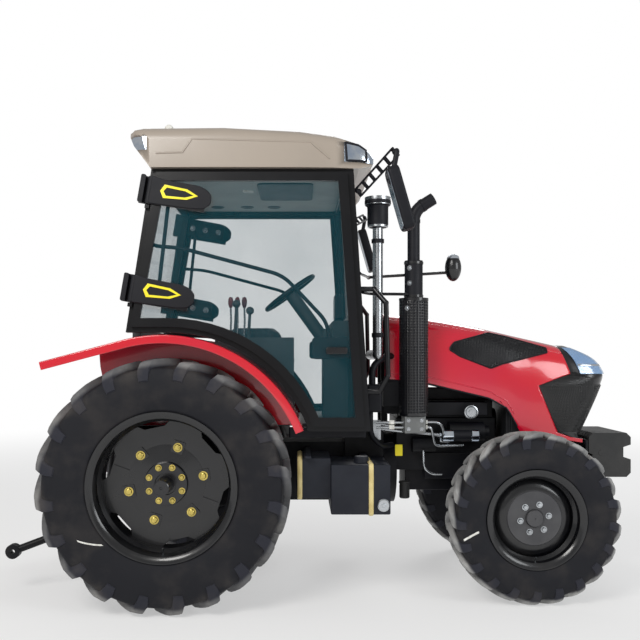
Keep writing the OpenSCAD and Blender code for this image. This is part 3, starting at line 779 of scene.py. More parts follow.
class TRACTOR_OT_tyres(bpy.types.Operator):
    """Four tyres: a smooth carcass and two rows of slanted lugs on each"""

    bl_idname = "tractor.tyres"
    bl_label = "Tyres"

    def execute(self, context):
        for which, sign in WHEELS:
            kind = which.split("_")[0]
            name, body, centre = "tyre_" + which, "wheel_" + which, wheel_middle(which)
            r, w, rim = wheel_sizes(which)
            depth = getattr(sizes(), kind + "_lug") / MM
            count = getattr(sizes(), kind + "_lugs")
            lean = 0.24 if kind == "rear" else 0.26
            half = carcass(r, w, rim, depth)
            profile = half + [(p, -q) for p, q in reversed(half[:-1])]
            form = Form().lathe(profile, centre, (0, 1, 0), 144, closed=True)
            make(name + "_carcass", form, "rubber_" + kind, body, "tyre", angle=50, stands_for=[name])
            other = lug(r, w, rim, depth, -1, lean)
            other.moved(Matrix.Rotation(math.pi / count, 4, "Y"))
            unit = lug(r, w, rim, depth, 1, lean).join(other)
            repeat(name + "_lugs", unit, count, centre, "lugs_" + kind, body, "tyre", angle=40)
            if sign < 0:
                self.mark(name, kind, half, centre, r, rim, body)
        return {"FINISHED"}

    def mark(self, name, kind, half, centre, r, rim, body):
        """White dash on the outer side of a right-hand tyre."""
        low, high, start, turn = 0.34, 0.74, -103, -0.012
        if kind == "rear":
            low, high, start, turn = 0.16, 0.44, -128, 0.035
        x, y, z = centre
        rows = []
        for k in range(7):
            radius = rim + (r - rim) * between(low, high, k / 6)
            lean = math.radians(start) + (k - 3) * turn
            out = y - straight(half, radius) - 1.2
            turns = [lean + e / radius for e in (-6, 6)]
            rows.append([(x + radius * math.sin(a), out, z + radius * math.cos(a)) for a in turns])
        make(name + "_mark", Form().net(rows), "white", body, "tyre", wall=0.8)


PAD_RADIUS = 209


class TRACTOR_OT_rims(bpy.types.Operator):
    """Dished rear rims with pads and bolts, front rims with a flat hub"""

    bl_idname = "tractor.rims"
    bl_label = "Rims"

    def execute(self, context):
        for which, sign in WHEELS:
            w, rim = wheel_sizes(which)[1:]
            build = self.rear if which.startswith("rear") else self.front
            build("rim_" + which, sign, "wheel_" + which, wheel_middle(which), w * 0.42, rim)
        return {"FINISHED"}

    def barrel(self, rim, b):
        """Outline of the rolled rim, closed."""
        outer = [
            (24, b + 12), (26, b + 6), (24, b + 1), (6, b - 1), (-0.5, b - 6), (-0.5, 70), (-18, 48),
            (-18, -48), (-0.5, -70), (-0.5, -b + 6), (6, -b + 1), (24, -b - 1), (26, -b - 6),
            (24, -b - 12),
        ]
        inner = [
            (12, -b - 11), (-2, -b - 6), (-13, -b + 4), (-15, -62), (-33, -42),
            (-33, 42), (-15, 62), (-13, b - 4), (-2, b + 6), (12, b + 11),
        ]
        return [(rim + up, across) for up, across in outer + inner]

    def valve(self, name, body, base, steps, radii):
        path = [base] + [base + Vector(step) for step in steps]
        make(name + "_valve", Form().rod(path, radii, 10), "steel", body, "steel")

    def bolts(self, name, width, height, sign, radius, lift, count, first, centre, coat, body):
        """A ring of bolts round a hub."""
        bolt = bolt_unit(width, height, (0, sign, 0), radius)
        bolt.moved(Matrix.Translation((0, sign * lift, 0)))
        repeat(name, bolt, count, centre, coat, body, "steel", first=math.radians(first))

    def rear(self, name, sign, body, c, b, rim):
        out, inner = (0, sign, 0), rim - 28
        form = Form().lathe(self.barrel(rim, b), c, out, 112, closed=True)
        make(name + "_barrel", form, "gloss", body, "rim", angle=30, stands_for=[name])
        tongue = [
            (-23, -36), (-20, -34), (-14, 4), (-7, 5), (0, 5), (7, 5), (14, 4), (20, -34), (23, -36),
        ]
        outline = []
        for k in range(6):
            for turn, step in tongue:
                a = math.radians(60 * k + 12 + turn)
                outline.append(((inner + step) * math.cos(a), (inner + step) * math.sin(a)))
        disc = Form().slab(outline, lambda u, v, h: (c[0] + u, c[1] + sign * h, c[2] + v), -20, -6)
        make(name + "_disc", disc, "gloss", body, "rim", bevel=2.5)
        hub = Form().lathe([
            (60, -6), (205, -6), (214, -6), (214, -4), (203, -3), (150, 1), (122, 3), (117, 24),
            (112, 26), (60, 26), (58, 14), (46, 14), (45, 60), (42, b + 10), (38, b + 13),
            (8, b + 13), (6, b + 9), (0, b + 9),
        ], c, out, 72)
        hub.lathe([(0, -40), (134, -40), (135, -38), (135, -20), (60, -20)], c, out, 48)
        make(name + "_hub", hub, "gloss", body, "rim", angle=30)
        pad = Form()
        for half, radius, low, high in ((34, 8, -7, 4), (25, 6, 3, 7)):
            pad.slab(rectangle(-half, -half, half, half, radius),
                     lambda u, v, h: (u, sign * h, PAD_RADIUS + v), low, high)
        repeat(name + "_pads", pad, 6, c, "gloss", body, "rim", first=math.radians(18), angle=30)
        bolt = sizes().bolt / MM
        self.bolts(name + "_pad_bolts", bolt, 16, sign, PAD_RADIUS, 7, 6, 18, c, "zinc", body)
        self.bolts(name + "_hub_bolts", 24, 14, sign, 97, 26, 8, 22, c, "zinc", body)
        seam = Form()
        for turn in (110, 290):
            a = math.radians(turn)
            d = Vector((math.sin(a), 0, math.cos(a)))
            side = Vector((d.z, 0, -d.x)) * 2.4
            ends = [Vector(c) + d * 122, Vector(c) + d * 305]
            ring = [p - side for p in ends] + [p + side for p in reversed(ends)]
            seam.loft([[p + Vector((0, sign * h, 0)) for p in ring] for h in (-6.5, -4.6)])
        make(name + "_seams", seam, "black", body, "rim")
        base = Vector(c) + Vector((0, sign * 100, 16 - rim))
        self.valve(name, body, base, ((0, sign * 6, 14), (0, sign * 22, 34)), [7, 5, 4])

    def front(self, name, sign, body, c, b, rim):
        out, inner = (0, sign, 0), rim - 28
        form = Form().lathe(self.barrel(rim, b), c, out, 96, closed=True)
        form.lathe([
            (150, 38), (inner - 24, 20), (inner - 8, 6), (inner + 6, -8), (inner + 6, 14),
            (inner - 4, 22), (inner - 18, 36), (186, 47), (168, 52), (150, 52),
        ], c, out, 96, closed=True)
        make(name + "_dish", form, "gloss", body, "rim", angle=30, stands_for=[name])
        hub = Form().lathe([
            (0, -26), (150, -26), (156, -20), (156, 52), (151, 58), (52, 58), (50, 55), (48, 58),
            (48, 70), (44, 74), (5, 74), (4, 71), (0, 71),
        ], c, out, 80)
        make(name + "_hub", hub, "grey", body, "grey", angle=30)
        self.bolts(name + "_bolts", 24, 15, sign, 81, 58, 6, 20, c, "steel", body)
        base = Vector(c) + Vector((0, sign * 70, 16 - rim))
        self.valve(name, body, base, ((0, sign * 6, 10), (0, sign * 18, 26)), [6, 4.5, 3.5])


# Hood and nose, on the same lines as the solids

HOOD_X, HOOD_Z, HOOD_HALF = 1246, 1655, 325
TOP_LINE = [(HOOD_X, HOOD_Z), (1511, 1628), (1800, 1577), (2078, 1515), (2340, 1455), (2450, 1425)]
LOW_LINE = [
    (HOOD_X, 1250), (1498, 1226), (1876, 1136), (1984, 1076), (2060, 940), (2120, 900), (2450, 885),
]
WIDTH_LINE = [
    (HOOD_X, HOOD_HALF), (1800, HOOD_HALF - 5), (2200, HOOD_HALF - 18), (2450, HOOD_HALF - 45),
]
END_LINE = [(0, 2416), (0.065, 2294), (0.53, 2177), (0.71, 2380), (1, 2325)]
FRONT_LINE = [(880, 2440), (1080, 2545), (1250, 2618), (1300, 2612), (1380, 2550), (1455, 2400)]
FULLNESS = 4.5
GROOVE = 0.918


def hood_low(x):
    return straight(LOW_LINE, x)


def hood_top(x):
    return curve(TOP_LINE, x)


def side_y(x, f):
    return curve(WIDTH_LINE, x) * max(0.0, 1 - f**FULLNESS) ** (1 / FULLNESS)


def off_hood(x, z, t):
    """Point standing off the side of the hood by t, square to its surface."""
    low, w = hood_low(x), curve(WIDTH_LINE, x)
    h = hood_top(x) - low
    f = (z - low) / h
    y = side_y(x, f)
    gy, gz = (y / w) ** (FULLNESS - 1) / w, f ** (FULLNESS - 1) / h
    g = math.hypot(gy, gz)
    return (x, -(y + t * gy / g), z + t * gz / g)


def nose_z(f):
    x = straight(END_LINE, f)
    return between(hood_low(x), hood_top(x), f)


def nose_level(z):
    """Level of the nose at a height."""
    low, high = 0.0, 1.0
    for _ in range(40):
        f = (low + high) / 2
        low, high = (f, high) if nose_z(f) < z else (low, f)
    return f


def nose_point(f, a, t):
    """Point of the nose at level f, from the side (a = 0) to the middle (a = 90), on the right."""
    x0, z = straight(END_LINE, f) + 0.3, nose_z(f)
    x1 = max(curve(FRONT_LINE, z), x0 + 30) + t
    y0 = side_y(x0, f) + t
    s, c = math.sin(math.radians(a)), max(0.0, math.cos(math.radians(a)))
    return (x0 + (x1 - x0) * s**0.55, -y0 * c**0.45, z)


def nose_side(x, z, t):
    """Point of the nose at a place seen from the side."""
    f = nose_level(z)
    x0 = straight(END_LINE, f) + 0.3
    x1 = max(curve(FRONT_LINE, z), x0 + 30)
    s = min(1.0, max(0.0, (x - x0) / (x1 - x0))) ** (1 / 0.55)
    return nose_point(f, math.degrees(math.asin(s)), t)


def both_halves(half):
    """A row of points from the right side to the middle, carried on to the left side."""
    return half + [(x, -y, z) for x, y, z in reversed(half[:-1])]


def holed(net, share):
    """A net whose cells are open in the middle, the bars taking a share of each cell."""
    form = Form()
    for row, following in zip(net, net[1:]):
        for k in range(len(row) - 1):
            corners = [Vector(p) for p in (row[k], row[k + 1], following[k + 1], following[k])]
            mid = sum(corners, Vector()) / 4
            inner = [c.lerp(mid, share) for c in corners]
            form.add(corners + inner, [(i, (i + 1) % 4, 4 + (i + 1) % 4, 4 + i) for i in range(4)])
    return form


class TRACTOR_OT_hood(bpy.types.Operator):
    """Red hood with its shoulder line and the dark vents in its sides"""

    bl_idname = "tractor.hood"
    bl_label = "Hood"

    def execute(self, context):
        levels = {0, 0.065, 0.53, 0.71, 0.9, 0.91, GROOVE, 0.926, 0.936, 0.965, 0.98, 0.99, 0.996, 1}
        levels = sorted(levels | {k / 22 for k in range(22)})
        columns = 76
        rows = []
        for j in range(columns + 1):
            half = []
            for f in levels:
                x = between(HOOD_X, straight(END_LINE, f), j / columns)
                y = side_y(x, f) - (5.0 if f == GROOVE else 0.0)
                half.append((x, -y, between(hood_low(x), hood_top(x), f)))
            rows.append(both_halves(half))
        make("hood_skin", Form().net(rows), "red", "hood", "red", wall=-6, angle=32,
             stands_for=["hood_shell"])
        self.vents()
        seal = [(x, -side_y(x, 0) - 0.5, hood_low(x) + 1) for x in range(HOOD_X + 6, 2060, 22)]
        pair("hood_{}_seal", Form().rod(seal, 5, 8), "plastic", "hood", "plastic")
        ridge = [off_hood(x, hood_low(x) + 44, -1.5) for x in range(HOOD_X + 20, 2040, 20)]
        pair("hood_{}_ridge", Form().rod(ridge, 4.5, 8), "red", "hood", "red", angle=60)
        return {"FINISHED"}

    def vents(self):
        low_edge = [(1636, 1430), (1700, 1390), (1886, 1318), (1953, 1344), (2245, 1412)]
        high_edge = [(1636, 1436), (1664, 1474), (1884, 1531), (2000, 1507), (2245, 1438)]
        m, n = 62, 22

        def net(t):
            rows = []
            for j in range(m + 1):
                x = between(1640, 2243, j / m)
                z0, z1 = straight(low_edge, x), straight(high_edge, x)
                rows.append([off_hood(x, between(z0, z1, k / n), t) for k in range(n + 1)])
            return rows

        mesh = net(3.5)
        pair("vent_{}_back", Form().net(net(2.2)), "plastic", "hood", "plastic",
             stands_for=["side_vents"])
        pair("vent_{}_mesh", holed(mesh, 0.24), "gloss", "hood", "plastic", wall=1.4)
        loop = [Vector(p) for p in [row[0] for row in mesh] + [row[-1] for row in reversed(mesh)]]
        rim = Form().rod(bent(loop, 4, 1) + loop[:1], 4.5, 8)
        pair("vent_{}_rim", rim, "plastic", "hood", "plastic")


class TRACTOR_OT_nose(bpy.types.Operator):
    """Black nose with its mesh grilles and the headlamps"""

    bl_idname = "tractor.nose"
    bl_label = "Nose"

    def execute(self, context):
        levels = {0.065, 0.53, 0.71, 0.985, 0.991, 0.995, 0.998, 0.9995, 1.0}
        levels = sorted(levels | {k / 40 for k in range(40)})
        angles = [0, 1, 2.5, 5, 8, 12, 16, 20, 25, 30, 36, 42, 48, 54, 60, 66, 72, 78, 84, 90]
        rows = [both_halves([nose_point(f, a, -1.5) for a in angles]) for f in levels]
        make("nose_shell", Form().net(rows), "gloss", "hood", "plastic", wall=-5, angle=32,
             stands_for=["grille"])
        self.grilles()
        self.lamps()
        return {"FINISHED"}

    def grilles(self):
        back_edge = [(930, 2290), (1200, 2180), (1300, 2366)]
        front_edge = [(930, 2436), (1132, 2524), (1255, 2524), (1300, 2396)]
        m, n = 40, 30
        net = []
        for j in range(m + 1):
            z = between(932, 1296, j / m)
            x0, x1 = straight(back_edge, z), straight(front_edge, z)
            net.append([nose_side(between(x0, x1, k / n), z, 2.5) for k in range(n + 1)])
        pair("grille_{}", holed(net, 0.26), "iron", "hood", "plastic", wall=1.2)
        front = []
        for j in range(25):
            f = nose_level(between(915, 1215, j / 24))
            front.append(both_halves([nose_point(f, 46 + 44 * k / 16, 2.5) for k in range(17)]))
        make("grille_front", holed(front, 0.26), "iron", "hood", "plastic", wall=1.2)

    def lamps(self):
        def net(f0, f1, a0, a1, t, m=10, n=16):
            return Form().net([
                [nose_point(between(f0, f1, j / m), between(a0, a1, k / n), t) for k in range(n + 1)]
                for j in range(m + 1)
            ])

        pair("headlamp_{}_reflector", net(0.715, 0.972, 5, 60, 1.0), "chrome", "hood", "lamp",
             stands_for=["headlamps"])
        pair("headlamp_{}_lens", net(0.71, 0.978, 4, 61, 7.0), "lens", "hood", "lamp", wall=-1.5)
        pair("headlamp_{}_divider", net(0.79, 0.81, 5, 61, 8.0, 2), "chrome", "hood", "lamp", wall=-3)


# Cab, on the same lines as the solids

LEAN = math.radians(2.172)
RAKE = math.radians(9.4)
CAB_HALF, FLOOR_Z, ROOF_Z = 670, 1000, 2449
CHASSIS = NODES["cab_floor"]["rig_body"]
DOOR = "door_{}"


def fixed(name, form, coat, slot, **more):
    """A piece that rides on the chassis."""
    return make(name, form, coat, CHASSIS, slot, **more)


def on_wall(u, v, d):
    """Point of the right cab wall: u forward, v up the wall, d out of it."""
    y = CAB_HALF - v * math.sin(LEAN) + d * math.cos(LEAN)
    return (u, -y, FLOOR_Z + v * math.cos(LEAN) + d * math.sin(LEAN))


def on_hinge(level):
    """Places points from a door hinge: a along its arm, b up the hinge line, c out."""

    def place(a, b, c):
        u = -92 - (1405 - level) * math.tan(RAKE) + a * math.cos(RAKE) + b * math.sin(RAKE)
        return on_wall(u, level - a * math.sin(RAKE) + b * math.cos(RAKE), 18 + c)

    return place


def flat(u, v, w):
    """Place of a slab that lies flat."""
    return (u, v, w)


def upright(y):
    """Place of a slab that stands along the tractor at a distance y from its middle."""
    return lambda u, v, w: (u, y - w, v)


class TRACTOR_OT_doors(bpy.types.Operator):
    """Hinge covers with their yellow outlines, rails and latches of the doors"""

    bl_idname = "tractor.doors"
    bl_label = "Door fittings"

    def execute(self, context):
        self.hinges()
        self.rails()
        return {"FINISHED"}

    def hinges(self):
        cover = round_outline([
            (3, -79), (253, -72), (318, -62), (351, -30), (347, 21),
            (320, 46), (275, 62), (65, 66), (3, 78),
        ], 14)
        turns = [math.radians(t) for t in range(0, 131, 10)]
        knuckle = [(29 * math.cos(t), 29 * math.sin(t)) for t in turns] + [(0, 2)]
        arrow = [(80, 38), (60, 0), (82, -38), (215, -27), (274, 3), (210, 31)]
        inner = [(155 + (a - 155) * 0.8, b * 0.62) for a, b in arrow]
        covers, caps, marks, plates, bolts = (Form() for _ in range(5))
        for level in (1325, 770):
            place = on_hinge(level)
            covers.slab(cover, place, 16, 30)
            covers.slab(knuckle, lambda u, v, w, place=place: place(u, w, v), -76, 75)
            caps.slab(rectangle(-60, -79, -32, 79, 10), place, -14, 28)
            caps.slab(rectangle(-60, -79, -12, 79, 4), place, -18, -13)
            marks.net([[place(a, b, 30.4) for a, b in line + line[:1]] for line in (arrow, inner)])
            plates.slab(rectangle(40, -58, 300, 50, 18), place, -24, -13.5)
            way = Vector(place(0, 0, -1)) - Vector(place(0, 0, 0))
            for a in (75, 165, 260):
                bolts.join(bolt_unit(26, 14, way).moved(Matrix.Translation(place(a, -4, -24))))
        pair("door_{}_hinge_covers", covers, "plastic", DOOR, "plastic", bevel=5, segments=3)
        pair("door_{}_hinge_caps", caps, "plastic", CHASSIS, "plastic", bevel=5, segments=3)
        pair("door_{}_arrows", marks, "yellow", DOOR, "plastic", wall=0.8)
        pair("door_{}_hinge_plates", plates, "plastic", DOOR, "plastic", bevel=3)
        pair("door_{}_hinge_bolts", bolts, "steel", DOOR, "steel")

    def rails(self):
        rails = Form()
        for line in (
            ((-90, 1018, 8), (-72, 1016, -28), (60, 1006, -28), (640, 850, -28), (885, 590, -28),
             (905, 470, -20)),
            ((-18, 1290, 8), (-10, 1270, -22), (-60, 800, -22), (-78, 780, 8)),
        ):
            rails.rod(bent([on_wall(*p) for p in line], 70), 11, 12)
        pair("door_{}_rails", rails, "plastic", DOOR, "plastic")
        latch = Form().slab(rectangle(803, 375, 1026, 498, 24), on_wall, -36, 4)
        latch.slab(rectangle(840, 405, 950, 460, 16), on_wall, -48, -34)
        pair("door_{}_latch", latch, "plastic", DOOR, "plastic", bevel=6, segments=3)
        handle = Form().slab(rectangle(880, 400, 1000, 440, 14), on_wall, 31, 44)
        pair("door_{}_handle", handle, "gloss", DOOR, "plastic", bevel=5, segments=3)


PAD_FRAMES, PAD_PRESSURE, PAD_REACH = 20, 4, 0.022
SEAM_WIDTH, SEAM_FADE = 0.007, 0.05


def cushion(name, outline, low, high, body, channels, stands_for=()):
    """A seat pad blown up by a cloth simulation, its movement capped, with sewn channels."""
    form = Form().slab(outline, flat, low, high)
    obj = drawn(name, [at(p) for p in form.points], form.faces, bevel=26, segments=4)
    scene = bpy.context.scene
    skin = obj.modifiers.new("skin", "REMESH")
    skin.mode, skin.voxel_size = "VOXEL", 0.006
    plain_mesh(obj)
    start = [v.co.copy() for v in obj.data.vertices]
    pad = obj.modifiers.new("pad", "CLOTH")
    pad.settings.use_pressure = True
    pad.settings.uniform_pressure_force = PAD_PRESSURE
    pad.settings.effector_weights.gravity = 0
    pad.point_cache.frame_start, pad.point_cache.frame_end = 1, PAD_FRAMES
    for number in range(1, PAD_FRAMES + 1):
        scene.frame_set(number)
    plain_mesh(obj)
    for vertex, place in zip(obj.data.vertices, start):
        move = vertex.co - place
        move.z = max(move.z, low * MM - place.z)
        vertex.co = place + move * min(1.0, PAD_REACH / max(move.length, 1e-9))
    scene.frame_set(1)
    top = max(v.co.z for v in obj.data.vertices)
    for vertex in obj.data.vertices:
        near = sum(math.exp(-(((vertex.co.y - y * MM) / SEAM_WIDTH) ** 2)) for y in channels)
        vertex.co.z -= SEAM_WIDTH * near * max(0.0, 1 - (top - vertex.co.z) / SEAM_FADE)
    finer = obj.modifiers.new("finer", "SUBSURF")
    finer.levels = finer.render_levels = 1
    plain_mesh(obj)
    settle(obj, "cloth", body, "seat", 60, stands_for)


class TRACTOR_OT_interior(bpy.types.Operator):
    """Headliner with vents and hatch, seat, levers and stalk inside the cab"""

    bl_idname = "tractor.interior"
    bl_label = "Cab interior"

    def execute(self, context):
        self.ceiling()
        self.seat()
        self.controls()
        return {"FINISHED"}

    def ceiling(self):
        for name, area, low, high, coat, bevel in (
            ("headliner", (-60, -555, 1000, 555, 60), 2416, 2434, "lining", 5),
            ("roof_hatch", (480, -400, 815, 110, 40), 2408, 2418, "plastic", 4),
            ("cab_lamp", (382, -196, 448, -144, 14), 2407, 2418, "white", 3),
        ):
            fixed(name, Form().slab(rectangle(*area), flat, low, high), coat, "plastic", bevel=bevel)
        rings, vents = Form(), Form()
        for x in (171, 374, 558):
            rings.turned([(30, 2418), (31, 2410), (43, 2412), (45, 2418)], x, 378, 40, closed=True)
            vents.turned([(0, 2412), (29, 2412), (29, 2419), (0, 2419)], x, 378, 40)
        fixed("vent_rings", rings, "inside", "plastic")
        fixed("vent_discs", vents, "plastic", "plastic")

    def seat(self):
        rings = []
        for k in range(17):
            grow, z = 9 * math.cos(math.pi * k / 2), between(1184, 1302, k / 16)
            outline = rectangle(342 - grow, -138 - grow, 548 + grow, 138 + grow, 34)
            rings.append([(u, v, z) for u, v in outline])
        fixed("seat_bellows", Form().loft(rings), "plastic", "plastic", angle=60, stands_for=["seat"])
        for name, area, low, channel in (
            ("seat_cushion", (268, -222, 704, 222, 70), 1312, 110),
            ("seat_back", (268, -212, 624, 212, 70), 1442, 100),
        ):
            cushion(name, rectangle(*area), low, low + 102, CHASSIS, (-channel, 0, channel))

    def controls(self):
        stems, knobs = Form(), Form()
        for x in (318, 358, 400):
            stems.rod([(x, -330, 1498), (x + 4, -330, 1600), (x + 2, -330, 1690)], 6, 10)
            knobs.turned([(0, 1680), (9, 1682), (15, 1702), (16, 1724), (11, 1742), (0, 1748)],
                         x + 2, -330, 24)
        fixed("lever_stems", stems, "steel", "steel")
        fixed("lever_knobs", knobs, "knob", "plastic", angle=60)
        stalk = Form().rod([(742, 8, 1740), (735, 90, 1752), (728, 165, 1768)], [6, 6, 9], 12)
        fixed("column_stalk", stalk, "knob", "plastic")

        def facing(u, v, w):
            return (955 + w, u, 1700 + v)

        screen = Form().slab(rectangle(-110, -80, 110, 80, 18), facing, 0, 46)
        fixed("dash_screen", screen, "plastic", "plastic", bevel=8, segments=3)
        face = Form().slab(rectangle(-92, -62, 92, 62, 8), facing, -2, 3)
        fixed("dash_screen_face", face, "gloss", "plastic", bevel=1)


# Distance forward, low edge, high edge and half width of the roof
ROOF_RINGS = [
    (-233, 190, 215, 560), (-200, 125, 228, 630), (-150, 60, 236, 655), (-106, 0, 239, 664),
    (300, 0, 242, 668), (736, 0, 220, 664), (930, 0, 196, 652), (1070, 0, 156, 628),
    (1130, 18, 112, 600), (1156, 42, 80, 560),
]
ROOF_STRETCH = 245 / 235


def off_roof(t):
    """Places points that stand off the right side of the roof by t."""

    def place(x, z):
        low, high, wide = (straight([(ring[0], ring[k]) for ring in ROOF_RINGS], x) for k in (1, 2, 3))
        share = (z - ROOF_Z - low) / (high * ROOF_STRETCH - low)
        e = min(0.9999, max(0.0, share)) ** (1 / 0.3)
        return (x, -(wide * math.sqrt(1 - e * e) ** 0.2 + t), z)

    return place


def along(points, step, place):
    """Close points on the straight lines between points, each put through place."""
    made = []
    for a, b in zip(points, points[1:]):
        count = max(1, round(math.dist(a, b) / step))
        made += [place(*(between(p, q, k / count) for p, q in zip(a, b))) for k in range(count)]
    return made + [place(*points[-1])]


class TRACTOR_OT_roof(bpy.types.Operator):
    """Side crease, lamp frames and the small dome of the roof"""

    bl_idname = "tractor.roof"
    bl_label = "Roof details"

    def execute(self, context):
        crease = [(-72, 2527), (78, 2532), (131, 2607), (794, 2591), (902, 2500)]
        line = Form().rod(along(crease, 18, off_roof(-1.5)), 5, 8)
        pair("roof_{}_crease", line, "roof", CHASSIS, "roof", angle=60)
        front = [(992, 2596), (1064, 2586), (1110, 2560), (1112, 2492), (1000, 2492), (992, 2596)]
        loop = Form().rod(along(front, 14, off_roof(0)), 7, 8)
        pair("roof_{}_lamp_frame", loop, "plastic", CHASSIS, "plastic", angle=60)
        turns = [math.radians(a) for a in range(0, 90, 10)]
        dome = [(26 * math.cos(a), 2686 + 30 * math.sin(a)) for a in turns]
        profile = [(0, 2680), (26, 2680)] + dome + [(0, 2716)]
        fixed("roof_dome", Form().turned(profile, -13, -560, 32), "white", "roof", angle=60)
        return {"FINISHED"}


# Pipes, mirrors and fittings

EXHAUST_X, EXHAUST_Y = 1403, -440
INTAKE_X, INTAKE_Y = 1192, -445
COOLER = (0, -318, 913)


class TRACTOR_OT_stacks(bpy.types.Operator):
    """Perforated exhaust guard, its box and screws, and the cap of the air intake"""

    bl_idname = "tractor.stacks"
    bl_label = "Exhaust and intake"

    def execute(self, context):
        self.exhaust(EXHAUST_X, EXHAUST_Y)
        form = Form().turned([
            (0, 2322), (46, 2321), (68, 2314), (77, 2300), (77.5, 2282), (72, 2272), (63, 2268),
            (61.5, 2250), (61.5, 2160), (55, 2146), (34, 2140), (0, 2140),
        ], INTAKE_X, INTAKE_Y, 56)
        for r, low, high in ((37, 2052, 2078), (36, 1500, 1528)):
            band = [(29.5, low), (r, low + 2), (r, high - 2), (29.5, high)]
            form.turned(band, INTAKE_X, INTAKE_Y, 40, closed=True)
        fixed("intake_cap", form, "plastic", "plastic", angle=40)
        line = [(1092, -606, 1752), (1150, -490, 1752), (1300, -486, 1752), (1372, -468, 1752)]
        fixed("stack_stay", Form().rod(bent(line, 60), 9, 12), "black", "black")
        return {"FINISHED"}

    def exhaust(self, x, y):
        turns = [2 * math.pi * k / 32 for k in range(33)]
        ring = [(x + 83.2 * math.cos(t), y + 83.2 * math.sin(t)) for t in turns]
        rows = [[(u, v, between(1058, 1712, j / 40)) for u, v in ring] for j in range(41)]
        fixed("exhaust_guard", holed(rows, 0.3), "gloss", "black", wall=1.6)
        hoops = Form()
        for r0, r1, z, half in (
            (82, 86, 1052, 8), (82, 86, 1722, 8), (53, 56.5, 1742, 7), (53, 56.5, 1936, 7),
        ):
            band = [(r0, z - half), (r1, z - half), (r1, z + half), (r0, z + half)]
            hoops.turned(band, x, y, 48, closed=True)
        fixed("exhaust_hoops", hoops, "gloss", "black")
        screws, way = Form(), Vector((-0.55, -0.83, 0))
        for z, r in ((1904, 53), (1816, 53), (1669, 84)):
            place = Matrix.Translation(Vector((x, y, z)) + way * r)
            screws.join(bolt_unit(20, 12, way).moved(place))
        fixed("exhaust_screws", screws, "steel", "steel")
        box = Form().box((x - 64, y - 62, 941), (x + 64, y + 62, 1045))
        fixed("exhaust_box", box, "alloy", "steel", bevel=9, segments=3)


class TRACTOR_OT_mirrors(bpy.types.Operator):
    """Leaning mirror heads on slotted arms"""

    bl_idname = "tractor.mirrors"
    bl_label = "Mirrors"

    def execute(self, context):
        s, c = math.sin(math.radians(16)), math.cos(math.radians(16))

        def head(u, v, w):
            return (1249 + w * c - v * s, -1035 + u, 2200 + w * s + v * c)

        shell = Form().slab(rectangle(-75, -167, 75, 167, 40), head, -30, 32)
        pair("mirror_{}_head", shell, "plastic", CHASSIS, "plastic", bevel=16, segments=4,
             stands_for=["mirrors"])
        pane = Form().slab(rectangle(-62, -153, 62, 153, 32), head, -31.5, -29)
        pair("mirror_{}_pane", pane, "chrome", CHASSIS, "glass")
        self.arms()
        cap = Form().turned([(30, 1964), (38, 1968), (32, 1983), (17, 1993), (0, 1996), (0, 1964)],
                            1643, -395, 40)
        fixed("front_mirror_cap", cap, "chrome", "plastic", angle=60)
        return {"FINISHED"}

    def arms(self):
        first, last = Vector((1064, -600, 2316)), Vector((1232, -1000, 2452))
        long, way = (last - first).length, (last - first).normalized()
        up = Vector((-0.66, 0, 0.75))
        up = (up - way * up.dot(way)).normalized()
        out = way.cross(up)

        def arm(u, v, w):
            return first + way * u + up * v + out * w

        ladder = Form()
        for v in (-29, 19):
            ladder.slab(rectangle(0, v, long, v + 10, 3), arm, -7, 7)
        for k in range(6):
            u = (long - 18) * k / 5
            ladder.slab(rectangle(u, -22, u + 18, 22, 3), arm, -6, 6)
        ladder.rod(bent([(1060, -592, 2330), (1072, -610, 2324), first + way * 20], 10), 14, 12)
        ladder.rod(bent([last - way * 12, (1236, -1035, 2452), (1216, -1035, 2345)], 26), 14, 12)
        pair("mirror_{}_arm", ladder, "plastic", CHASSIS, "plastic", bevel=1.5)


